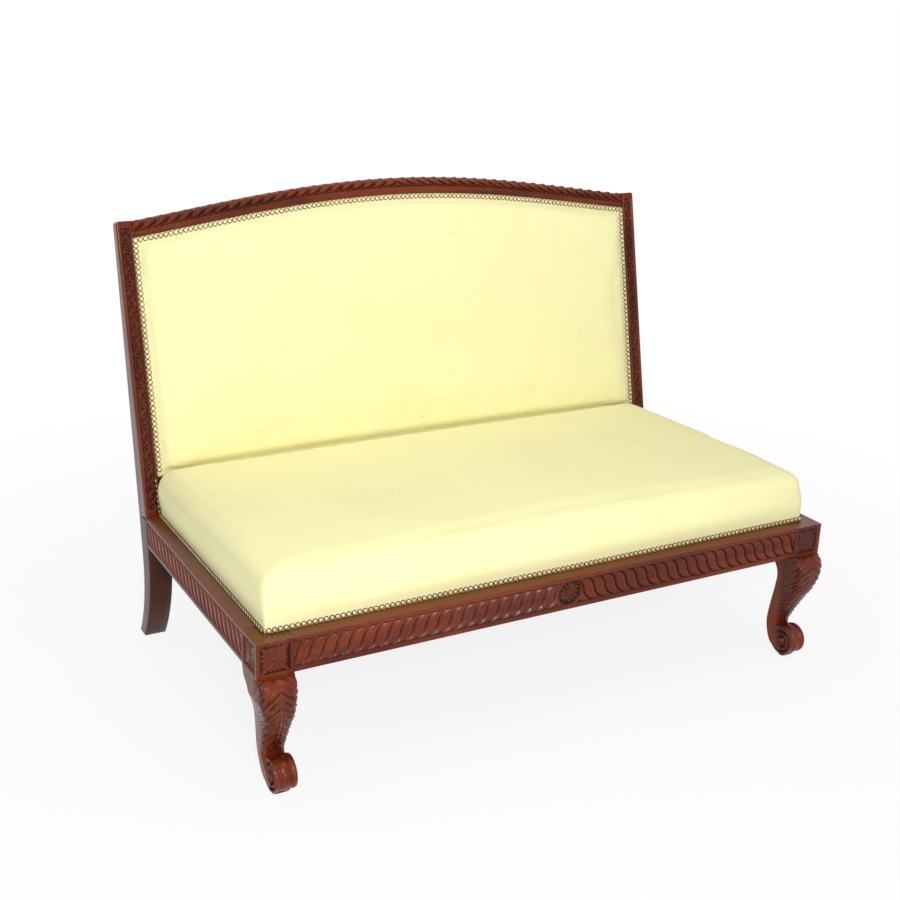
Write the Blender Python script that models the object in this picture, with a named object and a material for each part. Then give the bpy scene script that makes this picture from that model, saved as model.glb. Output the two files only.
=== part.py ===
"""Carved settee: a mahogany show-wood frame with a stuffed seat and a raked, stuffed back.

Metres, +Z up, X across the settee, +Y from its front to its back, the floor at Z = 0.
The back's pieces are modelled upright under the empty back_plane, which leans them back:
there Z is the distance up the rake from the ledge, and Y the depth behind the stiles' face.
"""

import math

import bmesh
import bpy
from mathutils import Vector

# Whole settee
WIDTH = 1.320  # across the outer faces of the corner blocks
DEPTH = 0.6407  # front of the front rail to the front of the stiles, at the ledge
LEDGE_Z = 0.3144  # flat top of the carved rails
RAKE = math.radians(12.06)
JOINT_GAP = 0.0003  # between pieces that touch
OVERRUN = 0.010  # how far a cut runs past what it cuts, and a joined piece into its neighbour

# Seat rails
RAIL_HEIGHT = 0.0684
RAIL_THICKNESS = 0.058
FRONT_LEDGE = 0.032  # show-wood in front of the cloth, on the front rail
SIDE_LEDGE = 0.028  # the same, on the side rails
TACK_HEIGHT = 0.020  # the raised edge that the cloth is nailed to
TACK_CHAMFER = 0.010  # cut across that edge at the seat's corners
TENON_THICKNESS = 0.016
TENON_SHOULDER = 0.010  # above and below each tenon
TENON_CLEARANCE = 0.004  # wood between two mortises that cross
FRONT_TENON_LENGTH = 0.030
SIDE_TENON_LENGTH = 0.022
SIDE_REAR_TENON_LENGTH = 0.018
BACK_RAIL_SET = 0.012  # back rail's face behind the stiles' face
BACK_RAIL_THICKNESS_SHARE = 0.92  # back rail's rear face, as a share of the rear leg's depth
BACK_TENON_THICKNESS = 0.012
BACK_TENON_LENGTH = 0.024
BACK_RAIL_LAP = 0.012  # webbing and hessian over the back rail
CROSS_RAIL_WIDTH = 0.050
CROSS_RAIL_HEIGHT = 0.045
CROSS_RAIL_DROP = 0.006  # below the webbing
BRACE_REACH = 0.085
BRACE_HEIGHT = 0.040

# Front legs
BLOCK = 0.072  # square corner block
BLOCK_HEIGHT = 0.0701
KNEE_BULGE = 0.026
LEG_OUTER_TAPER = 0.027
LEG_INNER_TAPER = 0.005
LEG_FRONT_ROUND = 0.0075
SCROLL_RADIUS = 0.031
SCROLL_FORWARD = 0.012  # its axis behind the front rail's face
SCROLL_CLEAR = 0.010  # under the scroll
SCROLL_PROUD = 0.001  # past the leg on each side
SCROLL_EDGE = 0.003
PAD_LENGTH = 0.017
PAD_SETBACK = 0.004
PAD_SIDE_SET = 0.002

# Down the leg: height as a share of the leg below its block, reach forward as a share of the
# knee's bulge, back face as a share of the block's depth, and shares of the taper and of the
# front's rounding
FRONT_LEG_SHARES = (
    (1.000, 0.00, 0.986, 0.00, 0.00),
    (0.970, 0.75, 0.962, 0.00, 0.60),
    (0.944, 0.90, 0.944, 0.00, 0.80),
    (0.910, 1.00, 0.885, 0.00, 1.00),
    (0.872, 1.00, 0.714, 0.00, 1.00),
    (0.815, 0.94, 0.611, 0.02, 1.00),
    (0.786, 0.89, 0.583, 0.11, 1.00),
    (0.729, 0.78, 0.597, 0.24, 1.00),
    (0.651, 0.49, 0.639, 0.42, 0.95),
    (0.567, 0.01, 0.694, 0.51, 0.90),
    (0.510, -0.29, 0.736, 0.57, 0.85),
    (0.446, -0.62, 0.778, 0.63, 0.80),
    (0.375, -0.98, 0.826, 0.70, 0.70),
    (0.307, -1.23, 0.847, 0.76, 0.50),
    (0.233, -1.15, 0.833, 0.89, 0.40),
    (0.158, -0.77, 0.764, 1.00, 0.40),
    (0.100, -0.70, 0.660, 1.00, 0.40),
    (0.064, -0.66, 0.493, 1.00, 0.40),
    (0.046, -0.62, 0.380, 1.00, 0.20),
)
# Across the leg's front: place as a share of the half width, set back as a share of the rounding
FRONT_ROUND_SHARES = (
    (-1.00, 1.90),
    (-0.88, 0.85),
    (-0.50, 0.20),
    (0.00, 0.00),
    (0.50, 0.20),
    (0.88, 0.85),
    (1.00, 1.90),
)

# Rear legs and stiles, each cut from one timber
STILE_WIDTH = 0.052
STILE_FACE = 0.034  # show-wood beside the back's cloth
REAR_FOOT_TAPER = 0.005
STILE_TOP_TAPER = 0.0025
REAR_KICK = 0.0735  # how far the foot stands behind the stile's line
REAR_KICK_SHARE = 0.716  # height where the kick begins, as a share of the ledge's height
REAR_KICK_POWER = 2.25
REAR_FOOT_DEPTH = 0.036
REAR_LEG_DEPTH = 0.056  # front to back at the ledge
STILE_TOP_DEPTH = 0.024
REAR_LEG_SHARES = (0.0, 0.07, 0.14, 0.24, 0.35, 0.47, 0.60, 0.716, 0.92)  # of the ledge's height
STILE_SHARES = (0.0, 0.5, 1.0)  # of the stile's length
STILE_CORNER_RADIUS = 0.007
CORNER_STEPS = 3
REBATE_DEPTH = 0.010  # for the back's cloth
REBATE_BELOW = 0.020  # rebate below the back's pad

# Back
BACK_HEIGHT = 0.6255  # stile's length above the ledge, up the rake
CREST_RISE = 0.0644  # of the crest's middle over the stiles
CREST_QUARTIC_SHARE = -0.34  # flattens the arch towards its ends
CREST_BAND_MIDDLE = 0.027
CREST_BAND_END = 0.029
CREST_FILLET_MIDDLE = 0.0113
CREST_FILLET_END = 0.0068
CREST_FILLET_SET = 0.003
CREST_NOSE = 0.007
CREST_TACK = 0.030  # hidden wood below the fillet
CREST_REAR_CLEARANCE = 0.0006  # to the outside back's cloth at the top
CREST_TENON_LENGTH = 0.018
CREST_TENON_THICKNESS = 0.006
CREST_TENON_HEIGHT = 0.030
LOWER_RAIL_UP = 0.118
LOWER_RAIL_HEIGHT = 0.040
LOWER_RAIL_THICKNESS = 0.022
LOWER_TENON_LENGTH = 0.018
UPRIGHT_WIDTH = 0.050
UPRIGHT_THICKNESS = 0.0105
UPRIGHT_SET = 0.002
OUTSIDE_BACK_THICKNESS = 0.0015
OUTSIDE_BACK_MARGIN = 0.012  # show-wood left round it
OUTSIDE_BACK_FOOT = 0.012  # its lower edge above the ledge

# Upholstery
COVER_THICKNESS = 0.0024
WADDING_GAP = 0.0015  # between the seat's stuffing and its cloth
WEBBING_THICKNESS = 0.0020
WEBBING_WIDTH = 0.050
HESSIAN_THICKNESS = 0.0012
DUST_COVER_THICKNESS = 0.0010
DUST_COVER_LAP = 0.020
CLOTH_MARGIN = 0.006  # webbing and hessian inside the edge they are tacked to
SEAT_BACK_GAP = 0.005  # seat in front of the stiles
SEAT_EDGE_HEIGHT = 0.1126  # seat's top over the ledge, at the middle of its sides
SEAT_BACK_DROP = 0.0165  # lower than that at the back
SEAT_FRONT_DROP = 0.0030  # lower than that at the front
SEAT_CROWN = 0.0105
SAG_START_SHARE = 0.25  # where the sides' highest point lies, from front to back
SEAT_LEAN_POWER = 3  # keeps the rake to the seat's rear part
SEAT_STRAPS_LONG = 9
SEAT_STRAPS_DEEP = 5
BACK_STRAPS_UP = 8
BACK_STRAPS_ACROSS = 4
SEAT_EDGE_RADIUS = 0.034
SEAT_REAR_RADIUS = 0.012
SEAT_SIDE_BULGE = 0.009
SEAT_CORNER_BULGE = 0.001
PAD_TUCK = 0.014  # back's pad below the seat's top
PAD_EDGE_SET = 0.0036  # pad's nailed edge behind the stiles' face
PAD_PROUD = 0.012  # pad's middle in front of that face
PAD_ROLL = 0.034
PAD_CROWN = 0.004

# Nails
NAIL_RADIUS = 0.0054
NAIL_DOME = 0.0030
NAIL_MARGIN = 0.0004  # between the nails and the wood beside them
NAIL_SLACK = 0.0012  # flat cloth past the nails before it swells
NAIL_CORNER_SHARE = 0.5  # where a seat row stops, as a share of the seat's rounded corner

# Fineness of the curved pieces
ROUND_SEGMENTS = 28
CREST_STATIONS = 24
NAIL_SIDES = 6
PAD_CELLS_ACROSS = 16
PAD_CELLS_UP = 8
SEAT_CELLS_DEEP = 8
EDGE_SHARES = (0.0, 0.12, 0.38, 0.68, 1.0)  # grid lines across a rounded edge, as shares of it
WALL_SHARES = (0.8, 0.54, 0.26)  # rings down the seat's side to its nails, as shares of its height
CORNER_POWER_TOP = 2.4  # superellipse powers: round corners above, squarer at the ledge
CORNER_POWER_BASE = 8.0
SMOOTH_ANGLE = math.radians(40)  # sharper edges than this stay sharp

# Worked out from the sizes above
HALF_WIDTH = WIDTH / 2
JOINT_X = HALF_WIDTH - BLOCK
RAIL_BOTTOM = LEDGE_Z - RAIL_HEIGHT
LEG_TOP = LEDGE_Z - BLOCK_HEIGHT
TACK_Z = LEDGE_Z + TACK_HEIGHT
TACK_Y = FRONT_LEDGE + COVER_THICKNESS + JOINT_GAP
TACK_X = HALF_WIDTH - SIDE_LEDGE - COVER_THICKNESS - JOINT_GAP
RAIL_INNER_X = HALF_WIDTH - RAIL_THICKNESS
SEAT_HALF = HALF_WIDTH - SIDE_LEDGE
SEAT_BACK_Y = DEPTH - SEAT_BACK_GAP
TACK_END_Y = SEAT_BACK_Y - COVER_THICKNESS - JOINT_GAP - TACK_CHAMFER
TENON_FRONT_Y = RAIL_THICKNESS / 2 - TENON_THICKNESS / 2
TENON_LOW = RAIL_BOTTOM + TENON_SHOULDER
TENON_HIGH = LEDGE_Z - TENON_SHOULDER
SIDE_TENON_X = JOINT_X + FRONT_TENON_LENGTH + TENON_CLEARANCE
BACK_RAIL_Y = DEPTH + BACK_RAIL_SET
BACK_TENON_Y = DEPTH + SIDE_REAR_TENON_LENGTH + TENON_CLEARANCE
STILE_INNER_X = HALF_WIDTH - STILE_WIDTH
STILE_FACE_X = HALF_WIDTH - STILE_FACE
WEBBING_Z = TACK_Z + JOINT_GAP
HESSIAN_Z = WEBBING_Z + WEBBING_THICKNESS + JOINT_GAP
STUFFING_Z = HESSIAN_Z + HESSIAN_THICKNESS + JOINT_GAP
NAIL_ZONE = 2 * (NAIL_RADIUS + NAIL_MARGIN) + NAIL_SLACK
PAD_EDGE_SHARES = (*EDGE_SHARES[:3], 1 - NAIL_ZONE / PAD_ROLL, 1.0)
DEPTH_TAPER = (REAR_LEG_DEPTH - STILE_TOP_DEPTH) / BACK_HEIGHT  # of the stiles, up the rake
CREST_TOP = BACK_HEIGHT + CREST_RISE
CREST_REAR = REAR_LEG_DEPTH - DEPTH_TAPER * CREST_TOP - CREST_REAR_CLEARANCE
OUTSIDE_BACK_TOP = CREST_TOP - OUTSIDE_BACK_MARGIN
OUTSIDE_BACK_REAR = (
    REAR_LEG_DEPTH - DEPTH_TAPER * OUTSIDE_BACK_TOP + JOINT_GAP + OUTSIDE_BACK_THICKNESS
)
REAR_REACH = max(
    DEPTH + up * math.sin(RAKE) + depth * math.cos(RAKE)
    for up, depth in (
        (BACK_HEIGHT, STILE_TOP_DEPTH),
        (CREST_TOP, CREST_REAR),
        (OUTSIDE_BACK_TOP, OUTSIDE_BACK_REAR),
    )
)
ORIGIN_Y = (REAR_REACH - KNEE_BULGE) / 2
SIDES = ((-1, "left"), (1, "right"))


def clear_scene():
    for obj in list(bpy.data.objects):
        bpy.data.objects.remove(obj, do_unlink=True)


def principled(name, colour, roughness, metallic=0.0):
    material = bpy.data.materials.new(name)
    material.use_nodes = True
    shader = material.node_tree.nodes["Principled BSDF"]
    shader.inputs["Base Color"].default_value = (*colour, 1.0)
    shader.inputs["Roughness"].default_value = roughness
    shader.inputs["Metallic"].default_value = metallic
    return material


def make_empty(name, parent=None, location=(0, 0, 0), lean=0.0):
    empty = bpy.data.objects.new(name, None)
    bpy.context.scene.collection.objects.link(empty)
    empty.parent = parent
    empty.location = location
    empty.rotation_euler = (-lean, 0, 0)
    return empty


def add_solid(name, points, faces, material, parent):
    """A closed mesh object under its parent empty, with its faces turned outwards."""
    mesh = bpy.data.meshes.new(name)
    work = bmesh.new()
    verts = [work.verts.new(point) for point in points]
    for face in faces:
        work.faces.new([verts[index] for index in face])
    bmesh.ops.recalc_face_normals(work, faces=work.faces)
    work.to_mesh(mesh)
    work.free()
    mesh.materials.append(material)
    obj = bpy.data.objects.new(name, mesh)
    bpy.context.scene.collection.objects.link(obj)
    obj.parent = parent
    return obj


def smooth(obj):
    """Round faces shaded smooth, with true edges kept."""
    obj.data.shade_smooth()
    obj.data.set_sharp_from_angle(angle=SMOOTH_ANGLE)


def add_box(name, low, high, material, parent):
    xs, ys, zs = zip(low, high)
    points = [(x, y, z) for z in zs for y in ys for x in xs]
    faces = [(0, 1, 3, 2), (4, 5, 7, 6), (0, 1, 5, 4), (2, 3, 7, 6), (0, 2, 6, 4), (1, 3, 7, 5)]
    return add_solid(name, points, faces, material, parent)


def add_loft(name, rings, material, parent):
    """A solid skinned over rings of equal point counts, closed by its first and last rings."""
    count = len(rings[0])
    points = [point for ring in rings for point in ring]
    faces = [tuple(range(count)), tuple(range(len(points) - count, len(points)))]
    for ring in range(len(rings) - 1):
        for side in range(count):
            after = (side + 1) % count
            low = ring * count
            high = low + count
            faces.append((low + side, low + after, high + after, high + side))
    return add_solid(name, points, faces, material, parent)


def add_prism(name, outline, low, high, material, parent):
    """A flat outline of (x, y) points, raised from low to high."""
    rings = [[(x, y, z) for x, y in outline] for z in (low, high)]
    return add_loft(name, rings, material, parent)


def boolean(obj, other, operation):
    other.hide_render = True
    other.display_type = "WIRE"
    modifier = obj.modifiers.new(f"{operation.lower()} {other.name}", "BOOLEAN")
    modifier.operation = operation
    modifier.solver = "EXACT"
    modifier.object = other


def join(obj, other):
    boolean(obj, other, "UNION")


def cut(obj, other):
    boolean(obj, other, "DIFFERENCE")


def sorted_corners(low, high):
    """The box's lowest and highest corners, whichever side of X = 0 it lies on."""
    pairs = [sorted(pair) for pair in zip(low, high)]
    return tuple(pair[0] for pair in pairs), tuple(pair[1] for pair in pairs)


def box_between(name, low, high, material, parent):
    low, high = sorted_corners(low, high)
    return add_box(name, low, high, material, parent)


def grown(low, high, gap):
    """The box's corners, moved out by the gap on every side."""
    low, high = sorted_corners(low, high)
    return tuple(value - gap for value in low), tuple(value + gap for value in high)


def on_rake(up, behind):
    """Y and Z of a point of the back, from its height up the rake and its depth."""
    y = DEPTH + up * math.sin(RAKE) + behind * math.cos(RAKE)
    z = LEDGE_Z + up * math.cos(RAKE) - behind * math.sin(RAKE)
    return y, z


def crest_top(x):
    """Height of the crest's arched top, up the rake."""
    share = x / STILE_FACE_X
    curve = (1 - CREST_QUARTIC_SHARE) * share**2 + CREST_QUARTIC_SHARE * share**4
    return CREST_TOP - CREST_RISE * curve


def between(middle, end, x):
    """A size that grows from the settee's middle to the back's edge."""
    share = (x / STILE_FACE_X) ** 2
    return middle + (end - middle) * share


def crest_band_foot(x):
    return crest_top(x) - between(CREST_BAND_MIDDLE, CREST_BAND_END, x)


def crest_foot(x):
    """Lower edge of the crest's plain fillet, where the cloth begins."""
    return crest_band_foot(x) - between(CREST_FILLET_MIDDLE, CREST_FILLET_END, x)


def rear_depth(up):
    """Depth of the stiles' rear face behind their front face."""
    return REAR_LEG_DEPTH - DEPTH_TAPER * up


def back_sag(share):
    """Fall of the seat's sides towards the back, from the share of the way there."""
    return SEAT_BACK_DROP * max(0.0, share - SAG_START_SHARE) / (1 - SAG_START_SHARE)


def front_sag(share):
    """Fall of the seat's sides towards the front."""
    return SEAT_FRONT_DROP * max(0.0, 1 - share / SAG_START_SHARE)


def seat_top(x, share):
    """Height of the seat's cloth, from X and the share of the way to the back."""
    across = min(1.0, abs(x) / SEAT_HALF)
    crown = SEAT_CROWN * (1 - across**2) * (1 - (2 * share - 1) ** 4 / 2)
    return LEDGE_Z + SEAT_EDGE_HEIGHT - back_sag(share) - front_sag(share) + crown


def pad_foot(x):
    """Lower edge of the back's pad up the rake, a little below the seat's top."""
    return (seat_top(x, 1.0) - LEDGE_Z) / math.cos(RAKE) - PAD_TUCK


def edge_grid(low, high, radii, cells, shares):
    """Grid lines from low to high: close over the two rounded edges, even between them.

    Each line is (place, share), where the share runs from 1 at the edge to 0 past its rounding,
    negative on the low side.
    """
    low_radius, high_radius = radii
    start = low + low_radius
    end = high - high_radius
    lines = [(low + low_radius * (1 - share), -share) for share in reversed(shares)]
    lines += [(start + (end - start) * step / cells, 0.0) for step in range(1, cells)]
    return lines + [(high - high_radius * (1 - share), share) for share in shares]


def round_corner(share_x, share_y, power):
    """A place over a rounded corner drawn in to a superellipse, and how near the edge it is."""
    nearness = max(abs(share_x), abs(share_y))
    if share_x == 0 or share_y == 0:
        return share_x, share_y, nearness
    length = (abs(share_x) ** power + abs(share_y) ** power) ** (1 / power)
    return share_x * nearness / length, share_y * nearness / length, nearness


def border_of(columns, rows):
    """The grid's outer places as (column, row), once round."""
    last_column = columns - 1
    last_row = rows - 1
    border = [(column, 0) for column in range(last_column)]
    border += [(last_column, row) for row in range(last_row)]
    border += [(column, last_row) for column in range(last_column, 0, -1)]
    return border + [(0, row) for row in range(last_row, 0, -1)]


def skin_faces(columns, rows, rings):
    """Quads of a grid and of the wall rings that hang from its border, and the last ring."""
    faces = []
    for column in range(columns - 1):
        for row in range(rows - 1):
            corner = column * rows + row
            faces.append((corner, corner + rows, corner + rows + 1, corner + 1))
    above = [column * rows + row for column, row in border_of(columns, rows)]
    for ring in range(rings):
        start = columns * rows + ring * len(above)
        below = [start + step for step in range(len(above))]
        for step in range(len(above)):
            after = (step + 1) % len(above)
            faces.append((above[step], above[after], below[after], below[step]))
        above = below
    return faces, above


def add_block(name, skin, material, parent):
    """A closed pad: a skin over the top and sides, and a flat face under it."""
    points, faces, border = skin
    return smoothed(add_solid(name, points, faces + [tuple(border)], material, parent))


def add_cover(name, outer, inner, material, parent):
    """A cloth cover: an outer skin and an inner one, joined round their lower edges."""
    points, faces, border = outer
    inner_points, inner_faces, inner_border = inner
    shift = len(points)
    faces = list(faces) + [tuple(index + shift for index in face) for face in inner_faces]
    for step in range(len(border)):
        after = (step + 1) % len(border)
        low = (border[step], border[after])
        faces.append((*low, inner_border[after] + shift, inner_border[step] + shift))
    return smoothed(add_solid(name, points + inner_points, faces, material, parent))


def smoothed(obj):
    smooth(obj)
    return obj


def seat_skin(inset, base, rear_base):
    """The seat's top and sides, drawn in by the inset, down to its lower edges."""
    radius = SEAT_EDGE_RADIUS - inset
    rear_radius = SEAT_REAR_RADIUS - inset
    half = SEAT_HALF - inset
    front = FRONT_LEDGE + inset
    back = SEAT_BACK_Y - inset
    columns = edge_grid(-half, half, (radius, radius), PAD_CELLS_ACROSS, EDGE_SHARES)
    rows = edge_grid(front, back, (radius, rear_radius), SEAT_CELLS_DEEP, EDGE_SHARES)

    def lean(y, z):
        """The seat's back follows the rake of the pad behind it."""
        share = max(0.0, (y - front) / (back - front))
        return y + (z - LEDGE_Z) * math.tan(RAKE) * share**SEAT_LEAN_POWER

    def place(column, row, power):
        """X and Y over the rounded corners, the nearness to the edge and the rounding's drop."""
        x, share_x = column
        y, share_y = row
        deep_radius = rear_radius if share_y > 0 else radius
        round_x, round_y, nearness = round_corner(share_x, share_y, power)
        x += radius * (round_x - share_x)
        y += deep_radius * (round_y - share_y)
        weight = share_x**2 + share_y**2
        drop = (radius * share_x**2 + deep_radius * share_y**2) / weight if weight else radius
        return x, y, nearness, drop

    def top(x, y):
        return seat_top(x, (y - front) / (back - front)) - inset

    points = []
    for column in columns:
        for row in rows:
            x, y, nearness, drop = place(column, row, CORNER_POWER_TOP)
            z = top(x, y) - drop * (1 - math.sqrt(max(0.0, 1 - nearness**2)))
            points.append((x, lean(y, z), z))
    border = border_of(len(columns), len(rows))
    for wall in (*WALL_SHARES, 0.0, None):
        power = CORNER_POWER_BASE + (CORNER_POWER_TOP - CORNER_POWER_BASE) * (wall or 0.0)
        for column, row in border:
            x, y, _, drop = place(columns[column], rows[row], power)
            at_back = rows[row][1] == 1.0
            foot = rear_base if at_back else base
            nailed = foot + NAIL_ZONE
            wall_top = top(x, y) - drop
            z = foot if wall is None else nailed + (wall_top - nailed) * wall
            out = 0.0 if at_back else wall_bulge(x, y, z, wall_top)
            x += out * columns[column][1]
            y += out * min(0.0, rows[row][1])
            points.append((x, lean(y, z), z))
    return points, *skin_faces(len(columns), len(rows), len(WALL_SHARES) + 2)


def wall_bulge(x, y, z, wall_top):
    """How far the seat's side swells, most at mid height and away from the corners."""
    low = LEDGE_Z + JOINT_GAP + NAIL_ZONE
    share = max(0.0, z - low) / (wall_top - low)
    deep = (y - FRONT_LEDGE) / (SEAT_BACK_Y - FRONT_LEDGE)
    along = max(1 - (x / SEAT_HALF) ** 4, 1 - (2 * deep - 1) ** 4) if share else 0.0
    bulge = SEAT_CORNER_BULGE + (SEAT_SIDE_BULGE - SEAT_CORNER_BULGE) * max(0.0, along)
    return bulge * math.sin(math.pi * min(1.0, share))


def pad_front(x, up):
    """Depth of the back's cloth: flat at its nailed edges, then rolled forward to its crown."""
    half = STILE_FACE_X - JOINT_GAP
    low = pad_foot(x)
    high = crest_foot(x) - JOINT_GAP
    inside = min(half - abs(x), up - low, high - up)
    share = min(1.0, max(0.0, (inside - NAIL_ZONE) / (PAD_ROLL - NAIL_ZONE)))
    along = (up - low) / (high - low)
    crown = PAD_CROWN * share * (1 - (x / half) ** 2) * (1 - (2 * along - 1) ** 2)
    return PAD_EDGE_SET - (PAD_PROUD + PAD_EDGE_SET) * math.sin(math.pi / 2 * share) - crown


def pad_lines(low, high, cells, inset, most_share):
    """The pad's grid lines as far out as the share, its outermost ones drawn in by the inset."""
    lines = []
    for place, share in edge_grid(low, high, (PAD_ROLL, PAD_ROLL), cells, PAD_EDGE_SHARES):
        if abs(share) <= most_share:
            lines.append(place - inset * int(share))
    return lines


def pad_skin(inset, depth, base, most_share=1.0):
    """The back's padded front and its edges, set back by the depth, down to its base."""
    half = STILE_FACE_X - JOINT_GAP
    columns = pad_lines(-half, half, PAD_CELLS_ACROSS, inset, most_share)
    points = []
    for x in columns:
        high = crest_foot(x) - JOINT_GAP
        for up in pad_lines(pad_foot(x), high, PAD_CELLS_UP, inset, most_share):
            points.append((x, pad_front(x, up) + depth, up))
    count = len(points) // len(columns)
    border = border_of(len(columns), count)
    for column, row in border:
        x, _, up = points[column * count + row]
        points.append((x, base, up))
    return points, *skin_faces(len(columns), count, 1)


def leg_ring(side, entry, round_scale):
    """One level of a front leg: the front's rounding, then the square back."""
    height, reach, back, taper, rounding = entry
    z = LEG_TOP * height
    outer = HALF_WIDTH - LEG_OUTER_TAPER * taper
    inner = JOINT_X + LEG_INNER_TAPER * taper
    middle = (outer + inner) / 2
    half = (outer - inner) / 2
    ring = []
    for across, set_back in FRONT_ROUND_SHARES:
        y = -KNEE_BULGE * reach + LEG_FRONT_ROUND * set_back * rounding * round_scale
        ring.append((side * (middle + half * across), y, z))
    return ring + [(side * outer, BLOCK * back, z), (side * inner, BLOCK * back, z)]


def block_ring(side, z):
    """The square corner block, on the same points as the leg below it."""
    middle = (HALF_WIDTH + JOINT_X) / 2
    ring = [(side * (middle + BLOCK / 2 * across), 0.0, z) for across, _ in FRONT_ROUND_SHARES]
    return ring + [(side * HALF_WIDTH, BLOCK, z), (side * JOINT_X, BLOCK, z)]


def front_tenon(side):
    low = (side * (JOINT_X - OVERRUN), TENON_FRONT_Y, TENON_LOW)
    high = (side * (JOINT_X + FRONT_TENON_LENGTH), TENON_FRONT_Y + TENON_THICKNESS, TENON_HIGH)
    return low, high


def side_tenon(side):
    low = (side * SIDE_TENON_X, BLOCK - SIDE_TENON_LENGTH, TENON_LOW)
    high = (side * (SIDE_TENON_X + TENON_THICKNESS), BLOCK + OVERRUN, TENON_HIGH)
    return low, high


def side_rear_tenon(side):
    low = (side * SIDE_TENON_X, DEPTH - OVERRUN, TENON_LOW)
    high = (side * (SIDE_TENON_X + TENON_THICKNESS), DEPTH + SIDE_REAR_TENON_LENGTH, TENON_HIGH)
    return low, high


def back_tenon(side):
    rear = BACK_TENON_Y + BACK_TENON_THICKNESS
    low = (side * (STILE_INNER_X - OVERRUN), BACK_TENON_Y, TENON_LOW)
    high = (side * (STILE_INNER_X + BACK_TENON_LENGTH), rear, TENON_HIGH)
    return low, high


def lower_tenon(side):
    middle = REBATE_DEPTH + LOWER_RAIL_THICKNESS / 2
    thick = LOWER_RAIL_THICKNESS / 4
    low = (side * (STILE_INNER_X - OVERRUN), middle - thick, LOWER_RAIL_UP + TENON_SHOULDER)
    high = (
        side * (STILE_INNER_X + LOWER_TENON_LENGTH),
        middle + thick,
        LOWER_RAIL_UP + LOWER_RAIL_HEIGHT - TENON_SHOULDER,
    )
    return low, high


def crest_tenon(side):
    middle = (REBATE_DEPTH + CREST_REAR) / 2
    thick = CREST_TENON_THICKNESS / 2
    middle_up = crest_foot(STILE_FACE_X)
    tall = CREST_TENON_HEIGHT / 2
    low = (side * (STILE_INNER_X - OVERRUN), middle - thick, middle_up - tall)
    high = (side * (STILE_INNER_X + CREST_TENON_LENGTH), middle + thick, middle_up + tall)
    return low, high


def mortise(obj, name, tenon, parent):
    """Cuts the hole for a tenon, a gap wider all round and open at its mouth."""
    low, high = grown(*tenon, JOINT_GAP)
    cut(obj, add_box(f"{obj.name} {name} mortise", low, high, None, parent))


def add_tenon(obj, name, tenon, parent):
    low, high = sorted_corners(*tenon)
    join(obj, add_box(f"{obj.name} {name} tenon", low, high, None, parent))


def make_front_leg(side, name, wood, floor):
    rings = [block_ring(side, LEDGE_Z), block_ring(side, LEG_TOP)]
    rings += [leg_ring(side, entry, 1.0) for entry in FRONT_LEG_SHARES[1:]]
    leg = smoothed(add_loft(f"front_leg_{name}", rings, wood, floor))
    join(leg, add_scroll(side, leg.name, floor))
    join(leg, add_foot_pad(side, leg.name, floor))
    outline = [
        (side * (JOINT_X + JOINT_GAP), TACK_Y),
        (side * (TACK_X - TACK_CHAMFER), TACK_Y),
        (side * TACK_X, TACK_Y + TACK_CHAMFER),
        (side * TACK_X, BLOCK - JOINT_GAP),
        (side * (JOINT_X + JOINT_GAP), BLOCK - JOINT_GAP),
    ]
    tack = add_prism(f"{leg.name} tacking corner", outline, LEDGE_Z - OVERRUN, TACK_Z, None, floor)
    join(leg, tack)
    mortise(leg, "front rail", front_tenon(side), floor)
    mortise(leg, "side rail", side_tenon(side), floor)


def add_scroll(side, name, floor):
    """The scroll foot's drum, lying across under the leg's front."""
    inner = JOINT_X + LEG_INNER_TAPER - SCROLL_PROUD
    outer = HALF_WIDTH - LEG_OUTER_TAPER + SCROLL_PROUD
    rings = []
    for x, radius in (
        (inner, SCROLL_RADIUS - SCROLL_EDGE),
        (inner + SCROLL_EDGE, SCROLL_RADIUS),
        (outer - SCROLL_EDGE, SCROLL_RADIUS),
        (outer, SCROLL_RADIUS - SCROLL_EDGE),
    ):
        ring = []
        for step in range(ROUND_SEGMENTS):
            turn = math.tau * step / ROUND_SEGMENTS
            y = SCROLL_FORWARD + radius * math.cos(turn)
            z = SCROLL_CLEAR + SCROLL_RADIUS + radius * math.sin(turn)
            ring.append((side * x, y, z))
        rings.append(ring)
    return add_loft(f"{name} scroll", rings, None, floor)


def add_foot_pad(side, name, floor):
    """The small flat pad that stands on the floor under the scroll."""
    inner = JOINT_X + LEG_INNER_TAPER + PAD_SIDE_SET
    outer = HALF_WIDTH - LEG_OUTER_TAPER - PAD_SIDE_SET
    low = (side * inner, PAD_SETBACK, 0.0)
    high = (side * outer, PAD_SETBACK + PAD_LENGTH, SCROLL_CLEAR + SCROLL_RADIUS / 2)
    return box_between(f"{name} pad", low, high, None, floor)


def rear_leg_ring(side, front, back, outer):
    inner = side * STILE_INNER_X
    outer = side * outer
    return [(inner, *front), (outer, *front), (outer, *back), (inner, *back)]


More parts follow.
